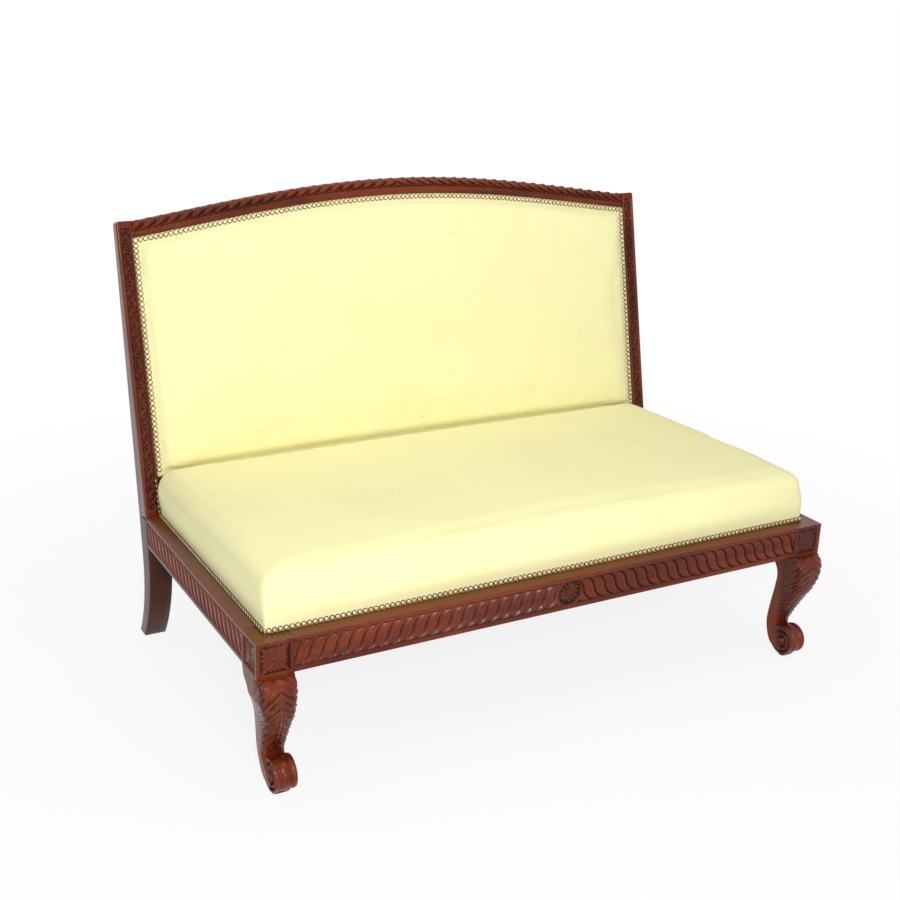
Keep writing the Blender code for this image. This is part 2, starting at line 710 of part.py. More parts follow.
def make_rear_leg(side, name, wood, floor, back_plane):
    """Rear leg and stile in one timber: a square raking leg below, a tapering stile above."""
    rings = []
    for share in REAR_LEG_SHARES:
        below = max(0.0, 1 - share / REAR_KICK_SHARE)
        front = DEPTH + REAR_KICK * below**REAR_KICK_POWER
        depth = REAR_FOOT_DEPTH + (REAR_LEG_DEPTH - REAR_FOOT_DEPTH) * share
        z = LEDGE_Z * share
        outer = HALF_WIDTH - REAR_FOOT_TAPER * (1 - share)
        rings.append(rear_leg_ring(side, (front, z), (front + depth, z), outer))
    for share in STILE_SHARES:
        up = BACK_HEIGHT * share
        outer = HALF_WIDTH - STILE_TOP_TAPER * share
        rings.append(rear_leg_ring(side, on_rake(up, 0.0), on_rake(up, rear_depth(up)), outer))
    leg = add_loft(f"rear_leg_{name}", rings, wood, floor)
    low = (side * (STILE_INNER_X - OVERRUN), -OVERRUN, pad_foot(STILE_FACE_X) - REBATE_BELOW)
    high = (side * STILE_FACE_X, REBATE_DEPTH, BACK_HEIGHT + OVERRUN)
    cut(leg, box_between(f"{leg.name} rebate", low, high, None, back_plane))
    cut(leg, add_stile_corner(side, leg.name, back_plane))
    mortise(leg, "side rail", side_rear_tenon(side), floor)
    mortise(leg, "back rail", back_tenon(side), floor)
    mortise(leg, "lower rail", lower_tenon(side), back_plane)
    mortise(leg, "crest", crest_tenon(side), back_plane)


def add_stile_corner(side, name, back_plane):
    """What is cut away outside the stile's rounded top corner."""
    outer = HALF_WIDTH - STILE_TOP_TAPER
    centre_x = outer - STILE_CORNER_RADIUS
    centre_up = BACK_HEIGHT - STILE_CORNER_RADIUS
    far = STILE_CORNER_RADIUS + OVERRUN
    outline = []
    for step in range(CORNER_STEPS + 1):
        turn = math.pi / 2 * step / CORNER_STEPS
        x = centre_x + STILE_CORNER_RADIUS * math.sin(turn)
        outline.append((side * x, centre_up + STILE_CORNER_RADIUS * math.cos(turn)))
    outline += [(side * (centre_x + far), centre_up), (side * (centre_x + far), centre_up + far)]
    outline.append((side * centre_x, centre_up + far))
    rings = [[(x, y, up) for x, up in outline] for y in (-OVERRUN, REAR_LEG_DEPTH)]
    return add_loft(f"{name} corner", rings, None, back_plane)


def rail_section(front, tack, inner):
    """L section of a seat rail, as (depth, height) from its show face to its inner face."""
    return [
        (front, RAIL_BOTTOM),
        (inner, RAIL_BOTTOM),
        (inner, TACK_Z),
        (tack, TACK_Z),
        (tack, LEDGE_Z),
        (front, LEDGE_Z),
    ]


def make_front_rail(wood, floor):
    end = JOINT_X - JOINT_GAP
    section = rail_section(0.0, TACK_Y, RAIL_THICKNESS)
    rings = [[(x, y, z) for y, z in section] for x in (-end, end)]
    rail = add_loft("front_rail", rings, wood, floor)
    add_tenon(rail, "left", front_tenon(-1), floor)
    add_tenon(rail, "right", front_tenon(1), floor)


def make_side_rail(side, name, wood, floor):
    """Its raised edge stops short of the stile, where the seat's cloth turns the corner."""
    ends = (BLOCK + JOINT_GAP, DEPTH - JOINT_GAP)
    outline = [(HALF_WIDTH, RAIL_BOTTOM), (RAIL_INNER_X, RAIL_BOTTOM)]
    outline += [(RAIL_INNER_X, LEDGE_Z), (HALF_WIDTH, LEDGE_Z)]
    rings = [[(side * x, y, z) for x, z in outline] for y in ends]
    rail = add_loft(f"side_rail_{name}", rings, wood, floor)
    low = (side * (RAIL_INNER_X + JOINT_GAP), ends[0], LEDGE_Z - OVERRUN)
    high = (side * TACK_X, TACK_END_Y, TACK_Z)
    join(rail, box_between(f"{rail.name} tacking edge", low, high, None, floor))
    add_tenon(rail, "front", side_tenon(side), floor)
    add_tenon(rail, "rear", side_rear_tenon(side), floor)


def make_back_rail(wood, floor):
    """Rear seat rail between the rear legs, with its rear face just inside theirs."""
    end = STILE_INNER_X - JOINT_GAP
    rear = DEPTH + BACK_RAIL_THICKNESS_SHARE * REAR_LEG_DEPTH
    rail = add_box("back_rail", (-end, BACK_RAIL_Y, RAIL_BOTTOM), (end, rear, TACK_Z), wood, floor)
    add_tenon(rail, "left", back_tenon(-1), floor)
    add_tenon(rail, "right", back_tenon(1), floor)


def make_cross_rail(wood, floor):
    """Front to back under the middle of the webbing, which it leaves room to sink."""
    half = CROSS_RAIL_WIDTH / 2
    high = TACK_Z - CROSS_RAIL_DROP
    front = RAIL_THICKNESS + JOINT_GAP
    add_box(
        "seat_cross_rail",
        (-half, front, high - CROSS_RAIL_HEIGHT),
        (half, BACK_RAIL_Y - JOINT_GAP, high),
        wood,
        floor,
    )


def make_corner_braces(wood, floor):
    middle = (RAIL_BOTTOM + LEDGE_Z) / 2
    low = middle - BRACE_HEIGHT / 2
    high = middle + BRACE_HEIGHT / 2
    inner = RAIL_INNER_X - JOINT_GAP
    front = RAIL_THICKNESS + JOINT_GAP
    rear = BACK_RAIL_Y - JOINT_GAP
    block_x = JOINT_X - JOINT_GAP
    block_y = BLOCK + JOINT_GAP
    for side, name in SIDES:
        front_outline = [
            (side * block_x, front),
            (side * block_x, block_y),
            (side * inner, block_y),
            (side * inner, block_y + BRACE_REACH),
            (side * (block_x - BRACE_REACH), front),
        ]
        rear_outline = [
            (side * inner, rear - OVERRUN),
            (side * (inner - OVERRUN), rear),
            (side * (inner - BRACE_REACH), rear),
            (side * inner, rear - BRACE_REACH),
        ]
        add_prism(f"corner_brace_front_{name}", front_outline, low, high, wood, floor)
        add_prism(f"corner_brace_rear_{name}", rear_outline, low, high, wood, floor)


def crest_ring(x):
    """L section of the crest: a rounded band, a plain fillet set back, and hidden wood below."""
    top = crest_top(x)
    band = crest_band_foot(x)
    foot = crest_foot(x)
    nose = [
        (CREST_NOSE * (1 - math.sin(turn)), top - CREST_NOSE * (1 - math.cos(turn)))
        for turn in (0.0, math.pi / 6, math.pi / 3, math.pi / 2)
    ]
    section = nose + [
        (0.0, band),
        (CREST_FILLET_SET, band),
        (CREST_FILLET_SET, foot),
        (REBATE_DEPTH, foot),
        (REBATE_DEPTH, foot - CREST_TACK),
        (CREST_REAR, foot - CREST_TACK),
        (CREST_REAR, top),
    ]
    return [(x, y, up) for y, up in section]


def make_crest_rail(wood, back_plane):
    """Lapped over the stiles' rebates and tenoned into them, its ends cut back behind the lap."""
    end = STILE_FACE_X - JOINT_GAP
    places = [end * (2 * step / CREST_STATIONS - 1) for step in range(CREST_STATIONS + 1)]
    rail = smoothed(add_loft("crest_rail", [crest_ring(x) for x in places], wood, back_plane))
    for side, name in SIDES:
        low = (side * (STILE_INNER_X - JOINT_GAP), REBATE_DEPTH - JOINT_GAP, 0.0)
        high = (side * (STILE_FACE_X + OVERRUN), REAR_LEG_DEPTH, BACK_HEIGHT + CREST_RISE)
        cut(rail, box_between(f"crest_rail {name} lap", low, high, None, back_plane))
        add_tenon(rail, name, crest_tenon(side), back_plane)


def make_lower_rail(wood, back_plane):
    end = STILE_INNER_X - JOINT_GAP
    low = (-end, REBATE_DEPTH, LOWER_RAIL_UP)
    high = (end, REBATE_DEPTH + LOWER_RAIL_THICKNESS, LOWER_RAIL_UP + LOWER_RAIL_HEIGHT)
    rail = add_box("lower_back_rail", low, high, wood, back_plane)
    add_tenon(rail, "left", lower_tenon(-1), back_plane)
    add_tenon(rail, "right", lower_tenon(1), back_plane)


def make_upright(wood, back_plane):
    """Stands between the lower back rail and the crest, butted and glued to both."""
    half = UPRIGHT_WIDTH / 2
    front = REBATE_DEPTH + UPRIGHT_SET
    low = LOWER_RAIL_UP + LOWER_RAIL_HEIGHT + JOINT_GAP
    high = crest_foot(half) - CREST_TACK - JOINT_GAP
    add_box(
        "back_upright",
        (-half, front, low),
        (half, front + UPRIGHT_THICKNESS, high),
        wood,
        back_plane,
    )


def add_cells(name, xs, ys, levels, filled, material, parent):
    """One flat piece made of the grid's filled cells, between two levels of the last axis."""
    rows = len(ys)
    layer = len(xs) * rows
    points = [levels(x, y, top) for top in (False, True) for x in xs for y in ys]
    faces = []
    for column in range(len(xs) - 1):
        for row in range(rows - 1):
            if not filled(column, row):
                continue
            start = column * rows + row
            corners = (start, start + rows, start + rows + 1, start + 1)
            faces += [corners, tuple(corner + layer for corner in corners)]
            around = ((column, row - 1), (column + 1, row), (column, row + 1), (column - 1, row))
            for step, beside in enumerate(around):
                if not filled(*beside):
                    first = corners[step]
                    second = corners[(step + 1) % 4]
                    faces.append((first, second, second + layer, first + layer))
    used = sorted({index for face in faces for index in face})
    order = {index: number for number, index in enumerate(used)}
    faces = [tuple(order[index] for index in face) for face in faces]
    return add_solid(name, [points[index] for index in used], faces, material, parent)


def strap_edges(low, high, count):
    """Edges of evenly spaced straps: even cells are straps and odd ones the gaps."""
    gap = (high - low - count * WEBBING_WIDTH) / (count - 1)
    starts = [low + strap * (WEBBING_WIDTH + gap) for strap in range(count)]
    return [edge for start in starts for edge in (start, start + WEBBING_WIDTH)]


def make_seat_webbing(material, floor):
    """Straps both ways over the seat's opening. Those from front to back end on the back rail."""
    edge_x = TACK_X - CLOTH_MARGIN
    end_x = STILE_INNER_X - CLOTH_MARGIN
    lengthways = strap_edges(-end_x, end_x, SEAT_STRAPS_LONG)
    crossways = strap_edges(TACK_Y + CLOTH_MARGIN, TACK_END_Y - CLOTH_MARGIN, SEAT_STRAPS_DEEP)
    xs = [-edge_x, *lengthways, edge_x]
    ys = [*crossways, BACK_RAIL_Y + BACK_RAIL_LAP]
    last_row = len(ys) - 2

    def filled(column, row):
        if not (0 <= column < len(xs) - 1 and 0 <= row <= last_row):
            return False
        return column % 2 == 1 or (row % 2 == 0 and row < last_row)

    def levels(x, y, top):
        return x, y, WEBBING_Z + WEBBING_THICKNESS * top

    add_cells("seat_webbing", xs, ys, levels, filled, material, floor)


def make_seat_hessian(material, floor):
    edge_x = TACK_X - CLOTH_MARGIN
    stile_x = STILE_INNER_X - CLOTH_MARGIN
    notch_y = TACK_END_Y - CLOTH_MARGIN
    rear = BACK_RAIL_Y + BACK_RAIL_LAP
    front = TACK_Y + CLOTH_MARGIN
    outline = [(edge_x, front), (edge_x, notch_y), (stile_x, notch_y), (stile_x, rear)]
    outline += [(-x, y) for x, y in reversed(outline)]
    add_prism("seat_hessian", outline, HESSIAN_Z, HESSIAN_Z + HESSIAN_THICKNESS, material, floor)


def make_seat_pad(stuffing, cloth, floor):
    """The stuffing block and, a gap outside it, the cloth drawn down over the tacking edge."""
    inside = COVER_THICKNESS + WADDING_GAP
    foot = LEDGE_Z + JOINT_GAP
    add_block("seat_stuffing", seat_skin(inside, STUFFING_Z, STUFFING_Z), stuffing, floor)
    outer = seat_skin(0.0, foot, STUFFING_Z)
    lining = seat_skin(COVER_THICKNESS, foot, STUFFING_Z)
    add_cover("seat_cover", outer, lining, cloth, floor)


def make_dust_cover(material, floor):
    """Closes the seat from below, notched round the four legs."""
    high = RAIL_BOTTOM - JOINT_GAP
    wide_x = RAIL_INNER_X + DUST_COVER_LAP
    narrow_x = JOINT_X - JOINT_GAP
    front = RAIL_THICKNESS - DUST_COVER_LAP
    rear = BACK_RAIL_Y + DUST_COVER_LAP
    notch_front = BLOCK + JOINT_GAP
    notch_rear = DEPTH - JOINT_GAP
    outline = [
        (narrow_x, front),
        (narrow_x, notch_front),
        (wide_x, notch_front),
        (wide_x, notch_rear),
        (narrow_x, notch_rear),
        (narrow_x, rear),
    ]
    outline += [(-x, y) for x, y in reversed(outline)]
    add_prism("seat_dust_cover", outline, high - DUST_COVER_THICKNESS, high, material, floor)


def make_back_layers(cloths, back_plane):
    """Webbing, hessian, stuffing and cloth of the back, from its frame forwards."""
    edge_x = STILE_FACE_X - CLOTH_MARGIN
    webbing_y = REBATE_DEPTH - JOINT_GAP - WEBBING_THICKNESS
    hessian_y = webbing_y - JOINT_GAP - HESSIAN_THICKNESS
    stuffing_y = hessian_y - JOINT_GAP
    xs = strap_edges(-edge_x, edge_x, BACK_STRAPS_UP)
    shares = strap_edges(0.0, BACK_HEIGHT, BACK_STRAPS_ACROSS)

    def levels(x, along, top):
        low = pad_foot(x) + CLOTH_MARGIN
        high = crest_foot(x) - CLOTH_MARGIN
        return x, webbing_y + WEBBING_THICKNESS * top, low + (high - low) * along / BACK_HEIGHT

    def filled(column, row):
        if not (0 <= column < len(xs) - 1 and 0 <= row < len(shares) - 1):
            return False
        return column % 2 == 0 or row % 2 == 0

    add_cells("back_webbing", xs, shares, levels, filled, cloths["webbing"], back_plane)
    rings = []
    for step in range(CREST_STATIONS + 1):
        x = edge_x * (2 * step / CREST_STATIONS - 1)
        low = pad_foot(x) + CLOTH_MARGIN
        high = crest_foot(x) - CLOTH_MARGIN
        rear_y = hessian_y + HESSIAN_THICKNESS
        rings.append([(x, hessian_y, low), (x, rear_y, low), (x, rear_y, high), (x, hessian_y, high)])
    add_loft("back_hessian", rings, cloths["hessian"], back_plane)
    inside = COVER_THICKNESS + JOINT_GAP
    stuffing = pad_skin(0.0, inside, stuffing_y, EDGE_SHARES[2])
    add_block("back_stuffing", stuffing, cloths["stuffing"], back_plane)
    rim = REBATE_DEPTH - JOINT_GAP
    outer = pad_skin(0.0, 0.0, rim)
    lining = pad_skin(COVER_THICKNESS, COVER_THICKNESS, rim)
    add_cover("back_cover", outer, lining, cloths["cloth"], back_plane)


def make_outside_back(material, back_plane):
    """A flat cloth panel on the rear faces of the stiles and the crest."""
    end = HALF_WIDTH - STILE_TOP_TAPER - OUTSIDE_BACK_MARGIN
    rings = []
    for step in range(CREST_STATIONS + 1):
        x = end * (2 * step / CREST_STATIONS - 1)
        high = crest_top(x) - OUTSIDE_BACK_MARGIN
        ring = []
        for up, thickness in ((OUTSIDE_BACK_FOOT, 0), (OUTSIDE_BACK_FOOT, 1), (high, 1), (high, 0)):
            y = rear_depth(up) + JOINT_GAP + OUTSIDE_BACK_THICKNESS * thickness
            ring.append((x, y, up))
        rings.append(ring)
    add_loft("outside_back_cover", rings, material, back_plane)


def nail_row(name, path, outward, sideways, brass, parent):
    """A half-round strip along a path: the space of a row of round-headed nails that touch."""
    rings = []
    for place, along in zip(path, sideways):
        ring = []
        for step in range(NAIL_SIDES + 1):
            turn = math.pi * step / NAIL_SIDES
            beside = along * NAIL_RADIUS * math.cos(turn)
            ring.append(place + beside + outward * NAIL_DOME * math.sin(turn))
        rings.append([tuple(point) for point in ring])
    add_loft(name, rings, brass, parent)


def make_seat_nails(brass, floor):
    z = LEDGE_Z + JOINT_GAP + NAIL_MARGIN + NAIL_RADIUS
    up = Vector((0, 0, 1))
    end_x = SEAT_HALF - SEAT_EDGE_RADIUS * NAIL_CORNER_SHARE
    y = FRONT_LEDGE - JOINT_GAP
    path = [Vector((-end_x, y, z)), Vector((end_x, y, z))]
    nail_row("nails_seat_front", path, Vector((0, -1, 0)), (up, up), brass, floor)
    front = FRONT_LEDGE + SEAT_EDGE_RADIUS * NAIL_CORNER_SHARE
    rear = SEAT_BACK_Y - SEAT_EDGE_RADIUS
    for side, name in SIDES:
        x = side * (SEAT_HALF + JOINT_GAP)
        path = [Vector((x, front, z)), Vector((x, rear, z))]
        nail_row(f"nails_seat_{name}", path, Vector((side, 0, 0)), (up, up), brass, floor)


def make_back_nails(brass, back_plane):
    """Up both sides of the back's pad and along under the crest, on its flat nailed edge."""
    front = Vector((0, -1, 0))
    y = PAD_EDGE_SET - JOINT_GAP
    edge_x = STILE_FACE_X - JOINT_GAP - NAIL_MARGIN - NAIL_RADIUS
    drop = JOINT_GAP + NAIL_MARGIN + NAIL_RADIUS
    for side, name in SIDES:
        x = side * edge_x
        low = pad_foot(x) + PAD_TUCK + NAIL_MARGIN
        high = crest_foot(x) - drop - 2 * NAIL_RADIUS
        path = [Vector((x, y, low)), Vector((x, y, high))]
        across = Vector((1, 0, 0))
        nail_row(f"nails_back_{name}", path, front, (across, across), brass, back_plane)
    places = [edge_x * (2 * step / CREST_STATIONS - 1) for step in range(CREST_STATIONS + 1)]
    path = [Vector((x, y, crest_foot(x) - drop)) for x in places]
    step_x = edge_x / CREST_STATIONS
    sideways = []
    for x in places:
        slope = (crest_foot(x + step_x) - crest_foot(x - step_x)) / (2 * step_x)
        sideways.append(Vector((-slope, 0, 1)).normalized())
    nail_row("nails_back_top", path, front, sideways, brass, back_plane)


def main():
    clear_scene()
    floor = make_empty("settee", location=(0, -ORIGIN_Y, 0))
    back_plane = make_empty("back_plane", floor, (0, DEPTH, LEDGE_Z), RAKE)
    mahogany = principled("mahogany", (0.10, 0.022, 0.012), 0.32)
    beech = principled("beech", (0.42, 0.27, 0.15), 0.60)
    cloth = principled("pale cloth", (0.90, 0.86, 0.55), 0.90)
    brass = principled("antique brass", (0.50, 0.37, 0.17), 0.35, 1.0)
    dust_cloth = principled("dust cloth", (0.06, 0.055, 0.05), 0.95)
    cloths = {
        "cloth": cloth,
        "webbing": principled("webbing", (0.36, 0.27, 0.16), 0.90),
        "hessian": principled("hessian", (0.45, 0.34, 0.20), 0.95),
        "stuffing": principled("stuffing", (0.62, 0.58, 0.50), 1.0),
    }
    for side, name in SIDES:
        make_front_leg(side, name, mahogany, floor)
        make_rear_leg(side, name, mahogany, floor, back_plane)
        make_side_rail(side, name, mahogany, floor)
    make_front_rail(mahogany, floor)
    make_crest_rail(mahogany, back_plane)
    make_back_rail(beech, floor)
    make_cross_rail(beech, floor)
    make_corner_braces(beech, floor)
    make_lower_rail(beech, back_plane)
    make_upright(beech, back_plane)
    make_seat_webbing(cloths["webbing"], floor)
    make_seat_hessian(cloths["hessian"], floor)
    make_seat_pad(cloths["stuffing"], cloth, floor)
    make_dust_cover(dust_cloth, floor)
    make_back_layers(cloths, back_plane)
    make_outside_back(cloth, back_plane)
    make_seat_nails(brass, floor)
    make_back_nails(brass, back_plane)


main()
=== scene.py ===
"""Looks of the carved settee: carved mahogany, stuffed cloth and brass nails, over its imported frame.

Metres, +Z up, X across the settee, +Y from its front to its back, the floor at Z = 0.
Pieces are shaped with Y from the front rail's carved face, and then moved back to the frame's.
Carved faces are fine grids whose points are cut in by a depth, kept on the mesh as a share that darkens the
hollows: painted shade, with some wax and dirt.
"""

import math

import bpy
import numpy as np
from mathutils import Matrix, Vector


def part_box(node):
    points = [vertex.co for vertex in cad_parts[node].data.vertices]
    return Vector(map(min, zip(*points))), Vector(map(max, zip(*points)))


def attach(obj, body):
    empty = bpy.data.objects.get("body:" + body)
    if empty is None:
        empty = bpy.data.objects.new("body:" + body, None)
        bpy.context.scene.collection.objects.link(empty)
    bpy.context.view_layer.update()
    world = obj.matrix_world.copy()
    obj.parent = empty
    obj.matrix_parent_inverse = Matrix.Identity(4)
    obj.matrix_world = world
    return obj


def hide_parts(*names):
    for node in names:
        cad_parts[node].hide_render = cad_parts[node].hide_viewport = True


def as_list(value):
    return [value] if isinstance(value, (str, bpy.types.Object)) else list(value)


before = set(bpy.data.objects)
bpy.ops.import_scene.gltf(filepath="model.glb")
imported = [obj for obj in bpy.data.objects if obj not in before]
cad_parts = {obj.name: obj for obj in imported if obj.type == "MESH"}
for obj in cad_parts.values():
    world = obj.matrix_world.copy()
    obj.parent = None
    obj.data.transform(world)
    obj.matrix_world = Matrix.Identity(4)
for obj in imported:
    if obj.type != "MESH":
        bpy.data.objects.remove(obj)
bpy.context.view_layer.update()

# Whole settee, from the frame and from its main lines
FACE_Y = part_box("front_rail")[0].y
RAIL_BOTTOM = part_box("front_rail")[0].z
TACK_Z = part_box("front_rail")[1].z  # top of the raised edge that the cloth is nailed to
HALF_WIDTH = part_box("front_leg_right")[1].x
TACK_HEIGHT = 0.020
LEDGE_Z = TACK_Z - TACK_HEIGHT  # flat top of the carved rails
DEPTH = 0.6407  # front rail's face to the stiles' face at the ledge
RAKE = math.radians(12.06)
GAP = 0.0003  # between pieces that touch
OVERRUN = 0.004  # how far a joined or cut box runs past the face it starts from
MERGE = 0.000001  # points closer than this become one
SIDES = ((-1, "left"), (1, "right"))
EDGE = 0.0009  # softened wooden edges

# Seat rails
BLOCK = 0.072
BLOCK_BOTTOM = LEDGE_Z - 0.0701
JOINT_X = HALF_WIDTH - BLOCK
RAIL_THICKNESS = 0.058
FRONT_LEDGE = 0.032
SIDE_LEDGE = 0.028
CLOTH = 0.0024
TACK_Y = FRONT_LEDGE + CLOTH + GAP
TACK_X = HALF_WIDTH - SIDE_LEDGE - CLOTH - GAP
TACK_END_Y = 0.6230
TACK_CHAMFER = 0.010
RAIL_CELL = 0.0011  # grid of the rails' carving
PLAIN_CELL = 0.003  # and of the plain wood beside it

# Carved waves of the rails
BAND_LOW = LEDGE_Z - 0.0593
BAND_HIGH = LEDGE_Z - 0.0075
BAND_DEPTH = 0.0062
BAND_STEP = 0.0005
WAVE_CREST = 0.36  # share of the pitch at which a wave stands highest
WAVE_FAR = 0.52  # its height where it drops into the next hollow
WAVE_PITCH = 0.02606
WAVE_START = 0.5825  # outermost hollow's middle from the settee's middle
WAVE_LEAN = 0.0045
WAVE_SWEEP = 0.0215
WAVE_ENDS = 0.13  # share of the half band over which a wave falls towards its two ends
WAVE_LEAST = 0.15  # its height at the very ends
WAVE_RAISED = 0.94  # share of the band's depth that the highest parts rise from its ground
SIDE_PITCH = 0.0245
SIDE_WAVE_START = 0.0800
SIDE_DEPTH_SHARE = 0.8
ROSETTE_RING = 0.0279
ROSETTE_BEAD = 0.0011
ROSETTE_EDGE = 1.6 * ROSETTE_BEAD  # half width of the beaded ring
ROSETTE_PETALS = (  # how many, turned by a share of a petal, inner and outer end, half width
    (12, 0.0, 0.0105, 0.0212, 0.0026),
    (8, 0.5, 0.0045, 0.0118, 0.0024),
)
ROSETTE_BOSS = 0.0034
PETAL_HEIGHT = 0.92

# Corner blocks' panels
PANEL_HALF = 0.0286
PANEL_DEPTH = 0.0048
PANEL_Z = LEDGE_Z - BLOCK / 2 + 0.0005
PANEL_FRAME = 0.04  # share of its half width over which the frame slopes down to the ground
PANEL_BOSS = 0.0048
PANEL_BOSS_HEIGHT = 0.9
PANEL_LEAF_HEIGHT = 0.95
PANEL_MARGIN = 0.0015  # uncut wood at the block's top and bottom
PANEL_SLOPE = 0.5  # how gently the leaves' walls slope, of their half width
PANEL_LEAVES = (  # turned by, inner and outer end, half width; each repeated to four sides
    (math.pi / 4, 0.0055, 0.0370, 0.0056),
    (0.0, 0.0055, 0.0250, 0.0052),
    (0.38, 0.0120, 0.0262, 0.0040),
    (-0.38, 0.0120, 0.0262, 0.0040),
)

# Stiles
STILE_WIDTH = 0.052
STILE_FACE = 0.034
STILE_INNER_X = HALF_WIDTH - STILE_WIDTH
STILE_FACE_X = HALF_WIDTH - STILE_FACE
STILE_TOP_TAPER = 0.0025
STILE_CORNER = 0.007
BACK_HEIGHT = 0.6255
REAR_LEG_DEPTH = 0.056
REAR_FOOT_DEPTH = 0.036
REAR_FOOT_TAPER = 0.005
REAR_KICK = 0.0735
REAR_KICK_SHARE = 0.716
REAR_KICK_POWER = 2.25
STILE_TOP_DEPTH = 0.024
DEPTH_TAPER = (REAR_LEG_DEPTH - STILE_TOP_DEPTH) / BACK_HEIGHT
REBATE = 0.010
REBATE_BELOW = 0.020  # how far it runs on below the back's cloth
STRIP_HALF = 0.0110  # carved strip up the stile
STRIP_DEPTH = 0.0042
STRIP_INSET = 0.0175  # its middle from the stile's outer edge
STRIP_FOOT = 0.016
STRIP_TOP = 0.612
STILE_ROUND = 0.0034  # its rounded outer edge
ROUND_TURNS = np.linspace(0, math.pi / 2, 5)
PLAIN_LEG_SHADE = 0.78  # how far painted shade darkens the plain rear legs
STRIP_GROUND_SHADE = 0.95  # how far painted shade, with some wax and dirt, darkens the strip's ground, of the darkest hollow
SCROLL_PITCH = 0.0216
SCROLL_SWING = 0.0074
VINE_TURNS = np.linspace(-1.5, 1.5, 19)  # in half pitches
VINE_HALF = 0.0016
CURL_POINTS = 26
CURL_HALF = 0.0015
CURL_LINE = (  # the curl that turns in from the vine, round a button
    (0.0000, -SCROLL_PITCH / 2),
    (-0.0056, -0.0066),
    (-0.0076, -0.0008),
    (-0.0058, 0.0052),
    (-0.0008, 0.0078),
    (0.0040, 0.0050),
    (0.0044, 0.0006),
    (0.0022, -0.0026),
)
SPRIG_LINES = (  # the small leaves on the curl's outer side
    ((-0.0036, -0.0098), (-0.0070, -0.0106), (-0.0098, -0.0088)),
    ((-0.0036, 0.0102), (-0.0072, 0.0100), (-0.0098, 0.0076)),
)
SPRIG_HALF = 0.0013
SPRIG_HEIGHT = 0.8
BUTTON_PLACE = (-0.0008, 0.0010)
BUTTON_RADIUS = 0.0031
STILE_CELL = 0.0008
STILE_STEP = 0.004  # rows of the plain wood under the strip
FOOT_ROWS = 48
FOOT_TOP_SHARE = 0.985  # the last of them, as a share of the way up to the seat

# Crest
CREST_RISE = 0.0644
CREST_TOP = BACK_HEIGHT + CREST_RISE
CREST_QUARTIC_SHARE = -0.34
CREST_BAND_MIDDLE = 0.027
CREST_BAND_END = 0.029
CREST_FILLET_MIDDLE = 0.0113
CREST_FILLET_END = 0.0068
CREST_FILLET_SET = 0.003
CREST_NOSE = 0.007
CREST_TACK = 0.030
CREST_REAR = REAR_LEG_DEPTH - DEPTH_TAPER * CREST_TOP - 2 * GAP
CREST_CELL = 0.0012
CREST_CHAMFER = 0.0004  # where the fillet meets the carved band
BAND_SHARE_STEP = 0.045
NOSE_TURNS = np.linspace(0, math.pi / 2, 9)
CREST_FADE = 3  # power by which the gadroons run out over the crest's top
GADROON_PITCH = 0.0272
GADROON_START = 0.0283
GADROON_SWEEP = 0.042
GADROON_DEPTH = 0.0080
GADROON_CREST = 0.45  # share of the pitch at which a gadroon stands highest
GADROON_FAR = 0.15  # its height where it drops into the next hollow
GADROON_BEAD = (0.93, 0.05, 0.50)  # thin bead between two: place and half width as shares, height
GADROON_LEAST = 0.3  # its height at the fillet, and over what share of the band it grows to the full one
GADROON_GROWS = 0.15

# Front legs
SCROLL_RADIUS = 0.0330
SCROLL_Y = 0.012
SCROLL_Z = 0.0385
SCROLL_INNER = 0.5915  # its two ends, from the settee's middle
SCROLL_OUTER = 0.6345
SCROLL_MIDDLE = (SCROLL_INNER + SCROLL_OUTER) / 2
SCROLL_HALF = (SCROLL_OUTER - SCROLL_INNER) / 2
SCROLL_SIDES = 132
SCROLL_CELL = 0.0010
SCROLL_FIRST = 0.0002  # radii of its ends' first and second rings, and how far short of the rim the last is
SCROLL_CHAMFER = 0.0012
SCROLL_DISH = 0.0012  # how far its ends are dished round the eye
SCROLL_EYE = 0.0050
SCROLL_EYE_HEIGHT = 0.0034
RIM_EDGE = 0.0006
RIM_CELL = 0.0007
RIM_BAND = 0.0028  # height and half width of the band round the rim's middle
RIM_BAND_HALF = 0.0080
RIM_BEADS = ((0.0044, 0.0046, 0.0026), (0.0108, 0.0016, 0.0016))  # in from each end, half width, height
RIM_MARKED = 0.0030  # how deep the rim's grooves lie that painted shade darkens, and how deep is darkest
RIM_DARKEST = 0.0050
FOOT_PAD_SIDES = 32
FOOT_PAD_HALF = (0.0180, 0.0085)
FOOT_PAD_SQUARE = 0.6  # power that squares its outline, 1 for an oval
FOOT_PAD_PROFILE = (  # height, and share of its half widths there
    (0.0, 0.90),
    (0.0014, 1.0),
    (0.0080, 1.0),
    (0.0104, 0.86),
    (0.0300, 0.86),
)
SPIRAL_PITCH = 0.0125
SPIRAL_DEPTH = 0.0048
SPIRAL_POWER = 0.7
SPIRAL_START = 0.0045  # radius where it starts, in from the rim where it ends, and how soon it is full
SPIRAL_END = 0.0025
SPIRAL_FADE = 0.002

CLOSE = 1e-6  # places and shares nearer than this count as the same
TINY = 1e-12  # least divisor


def deselect():
    bpy.ops.object.select_all(action="DESELECT")


def activate(piece):
    """Selects one piece alone, for the operators and modifiers that follow."""
    deselect()
    piece.select_set(True)
    bpy.context.view_layer.objects.active = piece


def named(piece, name):
    piece.name = name
    piece.data.name = name
    return piece


def mesh_points(mesh):
    """A mesh's points as rows of x, y and z."""
    flat = np.empty(len(mesh.vertices) * 3)
    mesh.vertices.foreach_get("co", flat)
    return flat.reshape(-1, 3)


